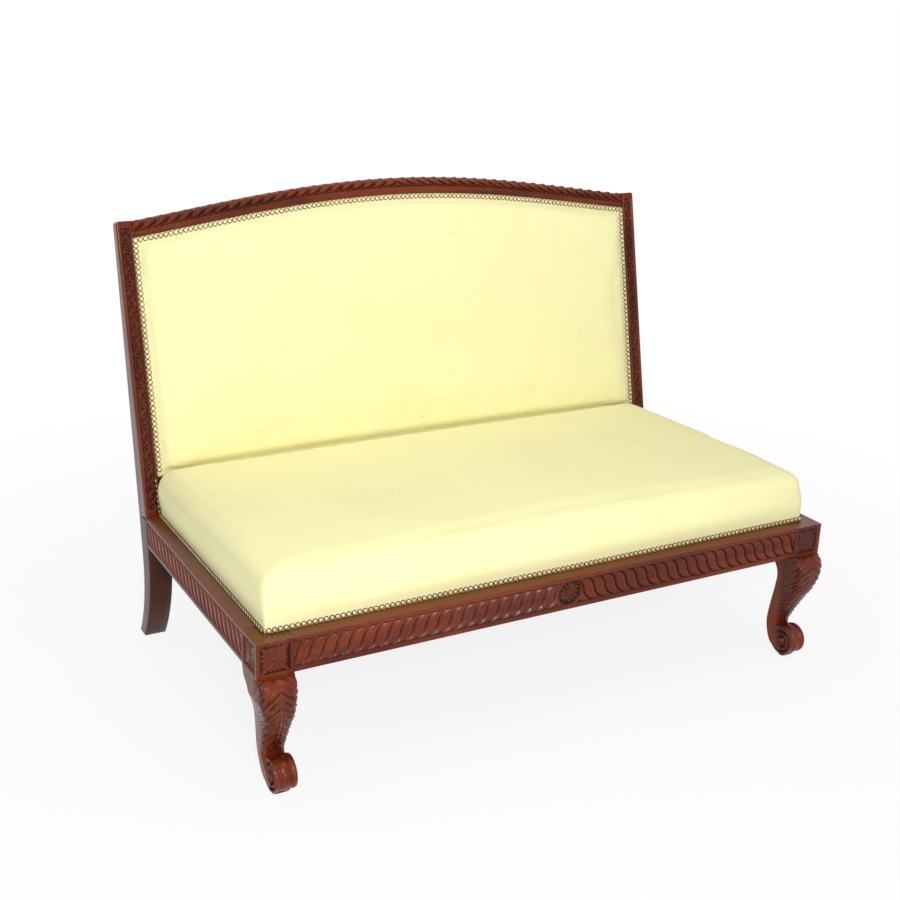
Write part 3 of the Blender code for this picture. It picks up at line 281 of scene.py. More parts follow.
def flat_map(mesh, layer, places):
    """Writes each point's place on the flat cloth into a UV map named for it."""
    corner = np.empty(len(mesh.loops), int)
    mesh.loops.foreach_get("vertex_index", corner)
    layer.name = "cloth"
    layer.data.foreach_set("uv", places[corner].astype(np.float32).ravel())


def spaced(low, high, step):
    """Even places from low to high, about a step apart."""
    return np.linspace(low, high, max(1, round(abs(high - low) / step)) + 1)


def rolled(name, around, along, place):
    """A grid rolled up into a closed length, its seam merged and its two ends filled.

    place(column, row) gives the points, and how far each is darkened by painted shade with some wax and dirt,
    for whole arrays of grid places.
    """
    deselect()
    bpy.ops.mesh.primitive_grid_add(x_subdivisions=around, y_subdivisions=along, size=1)
    piece = named(bpy.context.object, name)
    flat = mesh_points(piece.data)
    column = np.rint((flat[:, 0] + 0.5) * around).astype(int) % around
    row = np.rint((flat[:, 1] + 0.5) * along).astype(int)
    points, grime_and_shade = place(column, row)
    points = points + np.array((0, FACE_Y, 0))
    piece.data.vertices.foreach_set("co", points.ravel())
    # Marks how far each point is darkened: painted shade in the hollows, with some wax and dirt.
    mark = piece.data.attributes.new("grime_and_shade", "FLOAT", "POINT")
    mark.data.foreach_set("value", np.asarray(grime_and_shade, np.float32))
    bpy.ops.object.mode_set(mode="EDIT")
    bpy.ops.mesh.select_all(action="SELECT")
    bpy.ops.mesh.remove_doubles(threshold=MERGE)
    bpy.ops.mesh.fill_holes(sides=0)
    face_outwards()
    smooth_quads(piece)
    return piece


def face_outwards():
    """Turns all faces outwards, and leaves edit mode."""
    bpy.ops.mesh.select_all(action="SELECT")
    bpy.ops.mesh.normals_make_consistent(inside=False)
    bpy.ops.object.mode_set(mode="OBJECT")


def smooth_quads(piece):
    """Smooth shading on the grids, flat shading on the many-sided ends."""
    piece.data.polygons.foreach_set("use_smooth", [len(face.vertices) <= 4 for face in piece.data.polygons])
    piece.data.update()


def boxed(low, high):
    """A cube primitive between two corners, in the frame."""
    low, high = np.minimum(low, high), np.maximum(low, high)
    deselect()
    bpy.ops.mesh.primitive_cube_add(size=1, location=(low + high) / 2)
    box = bpy.context.object
    box.scale = high - low
    bpy.ops.object.transform_apply(location=True, rotation=True, scale=True)
    return box


def prism(outline, low, high):
    """A circle primitive moved onto an outline of (x, y) points and drawn up from low to high."""
    deselect()
    bpy.ops.mesh.primitive_circle_add(vertices=len(outline), radius=1, fill_type="NGON")
    piece = bpy.context.object
    for vertex, (x, y) in zip(piece.data.vertices, outline):
        vertex.co = (x, y + FACE_Y, low)
    bpy.ops.object.mode_set(mode="EDIT")
    bpy.ops.mesh.select_all(action="SELECT")
    bpy.ops.mesh.extrude_region_move(TRANSFORM_OT_translate={"value": (0, 0, high - low)})
    face_outwards()
    return piece


def joined(pieces):
    """Several closed shapes as one object, for one cut."""
    activate(pieces[0])
    for piece in pieces[1:]:
        piece.select_set(True)
    if len(pieces) > 1:
        bpy.ops.object.join()
    return bpy.context.view_layer.objects.active


def combine(piece, other, operation):
    modifier = piece.modifiers.new(operation.lower(), "BOOLEAN")
    modifier.operation = operation
    modifier.solver = "EXACT"
    modifier.object = other
    activate(piece)
    bpy.ops.object.modifier_apply(modifier=modifier.name)
    bpy.data.objects.remove(other, do_unlink=True)


def to_rake():
    """Turns the upright back's coordinates (x, behind, up) to their place on the rake."""
    return Matrix.Translation((0, DEPTH + FACE_Y, LEDGE_Z)) @ Matrix.Rotation(-RAKE, 4, "X")


def tenon_box(node, axis, shoulder, sign, raked=False, behind=-1.0):
    """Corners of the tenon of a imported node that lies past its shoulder, from just inside it."""
    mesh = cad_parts[node].data
    matrix = to_rake().inverted() if raked else Matrix.Identity(4)
    points = np.array([matrix @ vertex.co for vertex in mesh.vertices])
    past = points[(sign * (points[:, axis] - shoulder) > 4 * GAP) & (points[:, 1] > behind)]
    low, high = past.min(0), past.max(0)
    near = low if sign > 0 else high
    near[axis] = shoulder - sign * OVERRUN
    return low, high, raked


def tenon_solid(tenon, gap):
    low, high, raked = tenon
    box = boxed(low - gap, high + gap)
    if raked:
        box.data.transform(to_rake())
    return box


def add_tenon(piece, tenon):
    combine(piece, tenon_solid(tenon, 0), "UNION")


def cut_mortise(piece, tenon):
    """The hole for a tenon, a gap wider all round and open at its mouth."""
    combine(piece, tenon_solid(tenon, GAP), "DIFFERENCE")


def on_rake(up, behind):
    """Y and Z of a point of the back, from its height up the rake and its depth."""
    y = DEPTH + up * math.sin(RAKE) + behind * math.cos(RAKE)
    z = LEDGE_Z + up * math.cos(RAKE) - behind * math.sin(RAKE)
    return y, z


# Carving

RISE_POWER = 1.35  # how full a lobe's rising side is
DROP_SHARE = 0.09  # share of the pitch over which its far side drops into the next hollow
DROP_POWER = 0.6
LEAF_FLOOR = 0.42  # height of a leaf's hollow floor, of its edges' 1
LEAF_VEIN = 0.28  # height of its vein over the floor
LEAF_VEIN_HALF = 0.22  # half width of the vein, of the leaf's
LEAF_ROOT = 0.75  # height of a leaf's root, of its tip's 1
LEAF_SLOPE = 0.24  # half widths over which its outer walls slope
LEAF_SWELL = (0.12, 0.86, 0.7)  # where along a half wave a leaf's width starts, how much of it, and its power
LEAF_TIP = 0.21  # least width at a leaf's two ends, of its widest
LEAF_POINTS = 14
STROKE_REACH = 1.3  # how far round a stroke its distances are worked out, of its half width
FAR = 1e9  # share given to places farther off


def dome(share):
    """Rounded height over a half width: 1 in the middle, 0 at the edge."""
    return np.sqrt(np.clip(1 - share**2, 0, 1))


def lobe(share, crest, far):
    """Section across one carved lobe: up to its crest at a share of the pitch, then gently down to
    the height far, and steeply into the next hollow."""
    rise = 1 - (1 - np.clip(share / crest, 0, 1)) ** RISE_POWER
    fall = 1 - (1 - far) * np.clip((share - crest) / (1 - crest), 0, 1) ** 2
    edge = np.clip((1 - share) / DROP_SHARE, 0, 1) ** DROP_POWER
    return rise * fall * edge


def stroke_shares(x, y, stroke):
    """Each point's distance to a stroke as a share of the stroke's half width there, and how far
    along it is. A stroke is a list of (x, y, half width) along a line.
    """
    stroke = np.asarray(stroke, float)
    widest = stroke[:, 2].max() * STROKE_REACH
    low, high = stroke[:, :2].min(0) - widest, stroke[:, :2].max(0) + widest
    near = (x > low[0]) & (x < high[0]) & (y > low[1]) & (y < high[1])
    px, py = x[near], y[near]
    least = np.full(px.shape, FAR)
    along = np.zeros(px.shape)
    for step in range(len(stroke) - 1):
        ax, ay, _ = stroke[step]
        dx, dy = stroke[step + 1, :2] - stroke[step, :2]
        t = np.clip(((px - ax) * dx + (py - ay) * dy) / max(dx * dx + dy * dy, TINY), 0, 1)
        distance = np.hypot(px - ax - t * dx, py - ay - t * dy)
        nearer = distance < least
        least = np.where(nearer, distance, least)
        along = np.where(nearer, (step + t) / (len(stroke) - 1), along)
    widths = np.interp(along, np.linspace(0, 1, len(stroke)), stroke[:, 2])
    shares, places = np.full(x.shape, FAR), np.zeros(x.shape)
    shares[near] = least / widths
    places[near] = along
    return shares, places


def rounded_stroke(x, y, stroke):
    """Height of a raised, rounded band along a stroke, from 0 to 1."""
    return dome(stroke_shares(x, y, stroke)[0])


def peak(value, middle, half):
    """1 at a middle, falling evenly to 0 at half a width from it."""
    return np.clip(1 - np.abs(value - middle) / half, 0, 1)


def hollow_leaf(x, y, stroke, slope=LEAF_SLOPE):
    """Height of a leaf gouged hollow along its middle, with raised edges and a fine vein.

    Its outer walls slope over that share of its half width.
    """
    share, along = stroke_shares(x, y, stroke)
    wall = np.clip((1 + slope / 2 - share) / slope, 0, 1)
    hollow = LEAF_FLOOR + (1 - LEAF_FLOOR) * np.clip(share, 0, 1) ** 2
    vein = LEAF_VEIN * np.clip(1 - share / LEAF_VEIN_HALF, 0, 1)
    return wall * (hollow + vein) * (LEAF_ROOT + (1 - LEAF_ROOT) * along)


def leaf_stroke(points, width):
    """A smooth stroke through points, full in its middle and drawn in at both ends."""
    line = smooth_line(points, LEAF_POINTS)
    start, length, power = LEAF_SWELL
    swell = np.sin(math.pi * np.clip(np.linspace(0, 1, len(line)) * length + start, 0, 1)) ** power
    return [(x, y, width * max(LEAF_TIP, s)) for (x, y), s in zip(line, swell)]


def smooth_line(points, count):
    """Catmull-Rom curve through points."""
    points = np.asarray(points, float)
    ends = np.vstack([2 * points[0] - points[1], points, 2 * points[-1] - points[-2]])
    line = []
    spans = len(points) - 1
    for share in np.linspace(0, spans, count):
        span = min(int(share), spans - 1)
        t = share - span
        a, b, c, d = ends[span : span + 4]
        curve = 2 * b + (c - a) * t + (2 * a - 5 * b + 4 * c - d) * t**2 + (3 * b - a - 3 * c + d) * t**3
        line.append(curve / 2)
    return np.array(line)


def wave_height(out, share, pitch, start):
    """Carved waves of a rail: how high the lobes stand at a place along it and across its band."""
    lean = WAVE_LEAN * share + WAVE_SWEEP * np.sign(share) * (1 - dome(share))
    phase = ((start - out - lean) / pitch) % 1.0
    ends = np.clip((1 - np.abs(share)) / WAVE_ENDS, 0, 1) ** 0.5
    return lobe(phase, WAVE_CREST, WAVE_FAR) * (WAVE_LEAST + (1 - WAVE_LEAST) * ends)


def rosette_height(x, y):
    """The rail's middle rosette: a beaded ring round a many-petalled flower."""
    radius = np.hypot(x, y)
    height = dome((radius - ROSETTE_RING) / ROSETTE_EDGE)
    for petals, turned, inner, outer, width in ROSETTE_PETALS:
        for step in range(petals):
            stroke = ray_stroke(math.tau * (step + turned) / petals, inner, outer, width)
            height = np.maximum(height, PETAL_HEIGHT * hollow_leaf(x, y, stroke))
    return np.maximum(height, dome(radius / ROSETTE_BOSS))


def ray_stroke(turn, inner, outer, width):
    """A straight leaf's stroke, pointing out from a middle."""
    ray = np.array((math.cos(turn), math.sin(turn)))
    return leaf_stroke([ray * inner, ray * (inner + outer) / 2, ray * outer], width)


def panel_height(x, y):
    """Height of a corner block's carving, 1 at its frame and 0 at its ground.

    Four long leaves point to the corners, and a three-lobed one to each side.
    """
    frame_share = np.maximum(np.abs(x), np.abs(y)) / PANEL_HALF
    height = np.clip((frame_share - 1) / PANEL_FRAME + 1, 0, 1)
    inside = frame_share < 1
    for quarter in range(4):
        for turned, inner, outer, width in PANEL_LEAVES:
            stroke = ray_stroke(math.pi / 2 * quarter + turned, inner, outer, width)
            leaf = PANEL_LEAF_HEIGHT * hollow_leaf(x, y, stroke, PANEL_SLOPE)
            height = np.where(inside, np.maximum(height, leaf), height)
    return np.maximum(height, PANEL_BOSS_HEIGHT * dome(np.hypot(x, y) / PANEL_BOSS))


def stile_height(x, up):
    """The stile's running scroll round buttons, from 0 at its ground to 1 at its face."""
    unit = np.floor(up / SCROLL_PITCH + 0.5)
    flip = np.where(unit % 2 == 0, 1.0, -1.0)
    y = up - unit * SCROLL_PITCH
    x = x * flip
    vine = [(SCROLL_SWING * math.cos(math.pi * t / 2), t * SCROLL_PITCH / 2, VINE_HALF) for t in VINE_TURNS]
    curl = [(*place, CURL_HALF) for place in smooth_line(CURL_LINE, CURL_POINTS)]
    height = np.maximum(rounded_stroke(x, y, vine), rounded_stroke(x, y, curl))
    for line in SPRIG_LINES:
        sprig = rounded_stroke(x, y, leaf_stroke(line, SPRIG_HALF))
        height = np.maximum(height, SPRIG_HEIGHT * sprig)
    button = dome(np.hypot(x - BUTTON_PLACE[0], y - BUTTON_PLACE[1]) / BUTTON_RADIUS)
    return np.maximum(height, button)


# Rails


def bevelled(outline, size=EDGE):
    """Each corner of a closed outline as two points, a softened edge apart."""
    outline = np.asarray(outline, float)
    points = []
    for index, corner in enumerate(outline):
        for other in (outline[index - 1], outline[(index + 1) % len(outline)]):
            away = other - corner
            length = np.linalg.norm(away)
            points.append(corner + away / length * min(size, length / 3))
    return points


def rail_ring(tack):
    """Section of a seat rail as depth from its face and height, once round from its lower edge."""
    outline = [
        (0.0, RAIL_BOTTOM),
        (0.0, LEDGE_Z),
        (tack, LEDGE_Z),
        (tack, TACK_Z),
        (RAIL_THICKNESS, TACK_Z),
        (RAIL_THICKNESS, RAIL_BOTTOM),
    ]
    corners = bevelled(outline)
    face = np.concatenate(
        [
            spaced(RAIL_BOTTOM + EDGE, BAND_LOW, PLAIN_CELL)[1:],
            spaced(BAND_LOW + BAND_STEP, BAND_HIGH - BAND_STEP, RAIL_CELL),
            spaced(BAND_HIGH, LEDGE_Z - EDGE, PLAIN_CELL)[:-1],
        ]
    )
    ring = [corners[1], *((0.0, height) for height in face), *corners[2:], corners[0]]
    return np.array(ring)


def band_share(height):
    """Place across a rail's carved band, -1 at its lower edge and 1 at its upper one."""
    return (height - (BAND_LOW + BAND_HIGH) / 2) / ((BAND_HIGH - BAND_LOW) / 2)


def front_rail_depth(x, height):
    """How deep the front rail is cut: waves to both sides of its middle, and the rosette."""
    share = band_share(height)
    in_band = np.abs(share) < 1 - CLOSE
    raised = wave_height(np.abs(x), np.clip(share, -1, 1), WAVE_PITCH, WAVE_START)
    y = height - (BAND_LOW + BAND_HIGH) / 2
    near = np.hypot(x, y) < ROSETTE_RING + ROSETTE_EDGE
    raised[near] = rosette_height(x[near], y[near])
    return np.where(in_band, BAND_DEPTH * (1 - WAVE_RAISED * raised), 0.0)


def make_front_rail():
    ring = rail_ring(TACK_Y)
    end = JOINT_X - GAP
    places = spaced(-end, end, RAIL_CELL)

    def place(column, row):
        depth, height = ring[column].T
        x = places[row]
        on_face = (depth == 0) & (height > BAND_LOW) & (height < BAND_HIGH)
        cut = np.where(on_face, front_rail_depth(x, height), 0.0)
        return np.column_stack([x, depth + cut, height]), cut / BAND_DEPTH

    rail = rolled("front_rail_carved", len(ring), len(places) - 1, place)
    for sign in (-1, 1):
        add_tenon(rail, tenon_box("front_rail", 0, sign * JOINT_X, sign))
    return rail


def side_rail_tenons(name):
    node = f"side_rail_{name}"
    return tenon_box(node, 1, BLOCK + FACE_Y, -1), tenon_box(node, 1, DEPTH + FACE_Y, 1)


def make_side_rail(side, name):
    """Its raised edge stops short of the stile, where the seat's cloth turns the corner."""
    ring = rail_ring(SIDE_LEDGE + CLOTH + GAP)
    places = spaced(BLOCK + GAP, DEPTH - GAP, RAIL_CELL)

    def place(column, row):
        depth, height = ring[column].T
        y = places[row]
        share = band_share(height)
        raised = wave_height(-y, np.clip(share, -1, 1), SIDE_PITCH, -SIDE_WAVE_START)
        on_face = (depth == 0) & (np.abs(share) < 1 - CLOSE)
        deep = BAND_DEPTH * SIDE_DEPTH_SHARE
        cut = np.where(on_face, deep * (1 - WAVE_RAISED * raised), 0.0)
        height = np.where((y > TACK_END_Y) & (height > LEDGE_Z), LEDGE_Z, height)
        return np.column_stack([side * (HALF_WIDTH - depth - cut), y, height]), cut / BAND_DEPTH

    rail = rolled(f"side_rail_{name}_carved", len(ring), len(places) - 1, place)
    for tenon in side_rail_tenons(name):
        add_tenon(rail, tenon)
    return rail


# Crest


def crest_top(x):
    share = x / STILE_FACE_X
    curve = (1 - CREST_QUARTIC_SHARE) * share**2 + CREST_QUARTIC_SHARE * share**4
    return CREST_TOP - CREST_RISE * curve


def grows(middle, end, x):
    """A size that grows from the settee's middle to the back's edge."""
    return middle + (end - middle) * (x / STILE_FACE_X) ** 2


def crest_foot(x):
    """Lower edge of the crest's plain fillet, up the rake."""
    band = grows(CREST_BAND_MIDDLE, CREST_BAND_END, x)
    return crest_top(x) - band - grows(CREST_FILLET_MIDDLE, CREST_FILLET_END, x)


def crest_ring():
    """The crest's section, once round from the foot of its carved band.

    Each entry: depth behind the face, metres below the top, how many heights of the band and of the
    fillet it lies below that, the way the carving cuts (behind, up), its share of the way up the
    band, and how much of the carving's depth is left there.
    """
    ring = []
    for share in spaced(0.0, 1.0, BAND_SHARE_STEP)[:-1]:
        ring.append((0.0, CREST_NOSE * share, 1 - share, 0.0, 1.0, 0.0, share, 1.0))
    for turn in NOSE_TURNS:
        behind = CREST_NOSE * (1 - math.cos(turn))
        below = CREST_NOSE * (1 - math.sin(turn))
        ring.append((behind, below, 0.0, 0.0, math.cos(turn), -math.sin(turn), 1.0, 1.0))
    for behind in spaced(CREST_NOSE, CREST_REAR - EDGE, 2 * CREST_CELL)[1:]:
        fade = 1 - ((behind - CREST_NOSE) / (CREST_REAR - CREST_NOSE)) ** CREST_FADE
        ring.append((behind, 0.0, 0.0, 0.0, 0.0, -1.0, 1.0, fade))
    plain = [
        (CREST_REAR, EDGE, 0.0, 0.0),
        (CREST_REAR, CREST_TACK - EDGE, 1.0, 1.0),
        (CREST_REAR - EDGE, CREST_TACK, 1.0, 1.0),
        (REBATE + EDGE, CREST_TACK, 1.0, 1.0),
        (REBATE, CREST_TACK - EDGE, 1.0, 1.0),
        (REBATE, 0.0, 1.0, 1.0),
        (CREST_FILLET_SET + EDGE, 0.0, 1.0, 1.0),
        (CREST_FILLET_SET, -EDGE, 1.0, 1.0),
        (CREST_FILLET_SET, CREST_CHAMFER, 1.0, 0.0),
        (CREST_FILLET_SET - CREST_CHAMFER, 0.0, 1.0, 0.0),
    ]
    ring += [(*entry, 0.0, 0.0, 0.0, 0.0) for entry in plain]
    return np.array(ring)


def gadroon_height(out, share):
    """Carved gadroons: a lobe's height at a distance from the middle and up the crest's band."""
    sweep = GADROON_SWEEP * (1 - dome(1 - share))
    phase = ((GADROON_START + sweep - out) / GADROON_PITCH) % 1.0
    place, half, high = GADROON_BEAD
    bead = high * peak(phase, place, half) ** 0.5
    grown = GADROON_LEAST + (1 - GADROON_LEAST) * np.clip(share / GADROON_GROWS, 0, 1)
    return np.maximum(lobe(phase, GADROON_CREST, GADROON_FAR), bead) * grown


def make_crest_rail():
    """The arched rail, its ends cut back behind their laps over the stiles, with its two tenons."""
    ring = crest_ring()
    end = STILE_FACE_X - GAP
    places = spaced(-end, end, CREST_CELL)

    def place(column, row):
        behind, below, band_part, fillet_part, cut_y, cut_up, share, carved = ring[column].T
        x = places[row]
        band = grows(CREST_BAND_MIDDLE, CREST_BAND_END, x) - CREST_NOSE
        fillet = grows(CREST_FILLET_MIDDLE, CREST_FILLET_END, x)
        band_all = np.where(cut_up == 0, band, 0.0) * band_part
        plain = carved == 0
        band_all = np.where(plain, (band + CREST_NOSE) * band_part, band_all)
        up = crest_top(x) - below - band_all - fillet * fillet_part
        height = gadroon_height(np.abs(x), share)
        cut = GADROON_DEPTH * (1 - height) * carved
        y, z = on_rake(up + cut * cut_up, behind + cut * cut_y)
        return np.column_stack([x, y, z]), cut / GADROON_DEPTH * (carved > 0)

    rail = rolled("crest_rail_carved", len(ring), len(places) - 1, place)
    for sign in (-1, 1):
        low = np.array((sign * (STILE_INNER_X - GAP), REBATE - GAP, 0.0))
        high = np.array((sign * (STILE_FACE_X + OVERRUN), REAR_LEG_DEPTH, CREST_TOP))
        lap = boxed(low, high)
        lap.data.transform(to_rake())
        combine(rail, lap, "DIFFERENCE")
    for tenon in crest_tenons():
        add_tenon(rail, tenon)
    return rail


def crest_tenons():
    """The crest's two tenons, which lie behind the stiles' rebates."""
    shoulder = STILE_INNER_X + GAP
    return [tenon_box("crest_rail", 0, sign * shoulder, sign, True, REBATE + GAP) for sign in (-1, 1)]


# Rear legs


def rear_depth(up):
    return REAR_LEG_DEPTH - DEPTH_TAPER * up


def rear_leg_ring():
    """Points round a rear leg: which line each is measured from in X and in depth, and its offsets.

    In X: 0 from the inner side, 1 from the show face's inner edge, 2 from the outer side.
    In depth: 0 from the front, 1 from the rebate, 2 from the rear, 3 up the rebate's step, 4 round
    the outer front edge.
    """
    strip = spaced(-STRIP_HALF + BAND_STEP, STRIP_HALF - BAND_STEP, STILE_CELL) - STRIP_INSET
    ring = [(0, 0.0, 2, -EDGE), (0, 0.0, 1, EDGE), (0, EDGE, 1, 0.0)]
    ring += [(1, -GAP, 1, 0.0), (1, 0.0, 3, REBATE - GAP), (1, 0.0, 3, EDGE), (1, EDGE, 0, 0.0)]
    ring += [(2, -STRIP_INSET - STRIP_HALF, 0, 0.0)]
    ring += [(2, offset, 0, 0.0) for offset in strip]
    ring += [(2, STRIP_HALF - STRIP_INSET, 0, 0.0)]
    ring += [(2, STILE_ROUND * (math.sin(t) - 1), 4, STILE_ROUND * (1 - math.cos(t))) for t in ROUND_TURNS]
    ring += [(2, 0.0, 2, -EDGE), (2, -EDGE, 2, 0.0), (0, EDGE, 2, 0.0)]
    return np.array(ring)


def make_rear_leg(side, name):
    """Leg and stile from one timber: carved strip up the stile's face, rebate, and mortises."""
    ring = rear_leg_ring()
    shares = np.linspace(0, FOOT_TOP_SHARE, FOOT_ROWS)
    rebate_foot = pad_foot(STILE_FACE_X) - REBATE_BELOW
    ups = np.concatenate(
        [
            spaced(0, STRIP_FOOT, STILE_STEP)[:-1],
            [STRIP_FOOT, rebate_foot - GAP / 2, rebate_foot + GAP / 2],
            spaced(STRIP_FOOT + BAND_STEP, STRIP_TOP - BAND_STEP, STILE_CELL),
            spaced(STRIP_TOP, BACK_HEIGHT, STILE_CELL),
        ]
    )
    ups = np.sort(ups)
    last = len(shares) + len(ups) - 1

    def place(column, row):
        from_x, off_x, from_y, off_y = ring[column].T
        share = np.where(row < len(shares), shares[np.minimum(row, len(shares) - 1)], 1.0)
        up = np.where(row < len(shares), 0.0, ups[np.clip(row - len(shares), 0, None)])
        outer = HALF_WIDTH - REAR_FOOT_TAPER * (1 - share) - STILE_TOP_TAPER * up / BACK_HEIGHT
        over = np.clip(up - (BACK_HEIGHT - STILE_CORNER), 0, STILE_CORNER)
        rounded = outer - STILE_CORNER + np.sqrt(STILE_CORNER**2 - over**2)
        base_x = np.choose(from_x.astype(int), [STILE_INNER_X, STILE_FACE_X, outer])
        x = np.minimum(base_x + off_x, rounded)
        step = np.where(up > rebate_foot, REBATE, 0.0)
        leg_depth = REAR_FOOT_DEPTH + (REAR_LEG_DEPTH - REAR_FOOT_DEPTH) * share
        rear = np.where(share < 1, leg_depth, rear_depth(up))
        depth = np.choose(from_y.astype(int), [0.0, step, rear, 0.0, 0.0]) + off_y
        depth = np.where(from_y == 3, np.minimum(off_y, step), depth)
        on_face = (from_y == 0) & (off_y == 0)
        across = x - (outer - STRIP_INSET)
        inside = on_face & (np.abs(across) < STRIP_HALF - CLOSE)
        inside &= (up > STRIP_FOOT + CLOSE) & (up < STRIP_TOP - CLOSE)
        cut = np.zeros(len(x))
        cut[inside] = STRIP_DEPTH * (1 - stile_height(across[inside], up[inside]))
        below = np.clip(1 - share / REAR_KICK_SHARE, 0, 1)
        leg_y = DEPTH + REAR_KICK * below**REAR_KICK_POWER + depth
        stile_y, stile_z = on_rake(up, depth + cut)
        y = np.where(share < 1, leg_y, stile_y)
        z = np.where(share < 1, LEDGE_Z * share, stile_z)
        # The plain leg below the seat is darkened all over by painted shade; the strip's ground by painted
        # shade, with some wax and dirt, as deep as it is cut.
        grime_and_shade = np.where(share < 1, PLAIN_LEG_SHADE, STRIP_GROUND_SHADE * cut / STRIP_DEPTH)
        return np.column_stack([side * x, y, z]), grime_and_shade

    leg = rolled(f"rear_leg_{name}_carved", len(ring), last, place)
    cut_mortise(leg, side_rail_tenons(name)[1])
    shoulder = side * (STILE_INNER_X - GAP)
    cut_mortise(leg, tenon_box("back_rail", 0, shoulder, side))
    cut_mortise(leg, tenon_box("lower_back_rail", 0, shoulder, side, True))
    cut_mortise(leg, crest_tenons()[(side + 1) // 2])
    return leg


# Front legs

# Front and rear lines of the leg below its block, paired, from the block down into the scroll
LEG_LINES = (
    ((0.0000, 0.2443), (0.0717, 0.2443)),
    ((-0.0120, 0.2415), (0.0708, 0.2380)),
    ((-0.0205, 0.2360), (0.0680, 0.2306)),
    ((-0.0252, 0.2280), (0.0637, 0.2226)),
    ((-0.0260, 0.2190), (0.0530, 0.2140)),
    ((-0.0247, 0.2000), (0.0445, 0.2000)),
    ((-0.0209, 0.1800), (0.0423, 0.1830)),
    ((-0.0133, 0.1600), (0.0458, 0.1600)),
    ((-0.0010, 0.1400), (0.0497, 0.1400)),
    ((0.0100, 0.1200), (0.0538, 0.1210)),
    ((0.0210, 0.1000), (0.0580, 0.0975)),
    ((0.0290, 0.0830), (0.0605, 0.0800)),
    ((0.0330, 0.0710), (0.0610, 0.0680)),
    ((0.0300, 0.0580), (0.0592, 0.0530)),
    ((0.0240, 0.0490), (0.0550, 0.0387)),
    ((0.0180, 0.0420), (0.0475, 0.0245)),
    ((0.0140, 0.0360), (0.0355, 0.0156)),
    ((0.0110, 0.0300), (0.0240, 0.0112)),
    ((0.0080, 0.0280), (0.0125, 0.0102)),
)
LEG_OUTER_LINE = (  # height and outer side
    (0.010, 0.6335),
    (0.040, 0.6360),
    (0.080, 0.6400),
    (0.120, 0.6440),
    (0.158, 0.6487),
    (0.180, 0.6540),
    (0.198, 0.6592),
    (0.206, 0.6600),
    (0.245, 0.6600),
)
LEG_ROUND_POWER = 2.6
LEG_ROUND = 0.016  # how far its front corners are rounded, and how far below the block that is full
LEG_ROUND_FROM = 0.014
LEG_ROUND_LEAST = 0.12
LEG_ROUND_MOST = 0.6  # of the leg's depth
LEG_TAPER = (0.21, 0.17, 0.004)  # its inner side draws in from this height, over so much, by so much
LEG_ROWS = 230
OUTER_ROWS = 60
BLOCK_START = 0.002  # the block's first row of carving, below the ledge
BLOCK_CELL = 0.0009
RING_INNER = 44  # points round the leg: inner side, front, outer side and back
RING_FRONT = 84
RING_OUTER = 60
RING_BACK = 8
# Places on the leaf as distance round from the vein and down from the block
LEAF_RAISE = 0.0031
LEAF_SUNK = 0.0016
LEAF_END = 0.192
LEAF_WALL = 0.004
LEAF_START = 0.002  # how soon below the block it stands at its full height
LEAF_KNOT = 0.034
FAN_FOOT = 0.0012  # its foot, out from the vein's middle
FAN_HALF = 0.0056  # widest half width of a flute of the fan, and how its walls slope
FAN_SLOPE = 0.4
FAN_ROOT = 0.16  # its half width at the knot, of its widest
FAN_TIPS = ((0.005, 0.002), (0.016, 0.001), (0.027, 0.002), (0.038, 0.006), (0.049, 0.014), (0.058, 0.026))
LOBE_PITCH = 0.034  # of the long lobes along the vein, just below the knot
LOBE_SHRINK = 1.4  # how much closer they stand farther down, for each metre
LOBE_FALL = 0.85  # how far a lobe falls for each metre outwards
LOBE_BEND = 3.0  # and how much more steeply farther out, for each metre
LOBE_TIP = 0.005
LOBE_GROUND = 0.50
LOBE_RIM = (0.20, 0.11, 0.45)  # place and half width as shares of the pitch, height over the ground
LOBE_FOLD = (0.64, 0.10, 0.30)
FOLD_FROM = (0.010, 0.006)  # the fold starts this far out, over so much
LOBE_GAP = 0.09  # half width of the cut between two lobes
RIM_POWER = 0.6
GAP_POWER = 0.7
LEAF_EYES = (  # distance out from the vein, half length, share of the lobe's pitch, half width
    (0.0150, 0.0090, 0.42, 0.13),
    (0.0360, 0.0080, 0.42, 0.10),
    (0.0240, 0.0070, 0.82, 0.08),
)
EYE_DEPTH = 0.9
EYE_WALL = 2.5  # how steep an eye's sides are
VEIN_OUT = 0.0014  # the raised vein on each side of the leaf's middle line, and the groove beside it
VEIN_HALF = 0.0016
GROOVE_OUT = 0.0042
GROOVE_HALF = 0.0014
GROOVE_DEPTH = 0.8
VEIN_START = (0.004, 0.006)  # both start this far over the knot, over so much
LEAF_EDGE = (  # distance down from the block, and round from the vein to the leaf's rear edge
    (0.000, 0.040),
    (0.017, 0.060),
    (0.040, 0.069),
    (0.056, 0.072),
    (0.076, 0.063),
    (0.098, 0.054),
    (0.127, 0.045),
    (0.158, 0.034),
    (0.185, 0.024),
)


def fan_stroke(root, tip, width):
    """A stroke that widens from its root to a full round tip."""
    shares = np.linspace(0, 1, 9)
    return [(*(root + (tip - root) * s), width * (FAN_ROOT + (1 - FAN_ROOT) * s)) for s in shares]


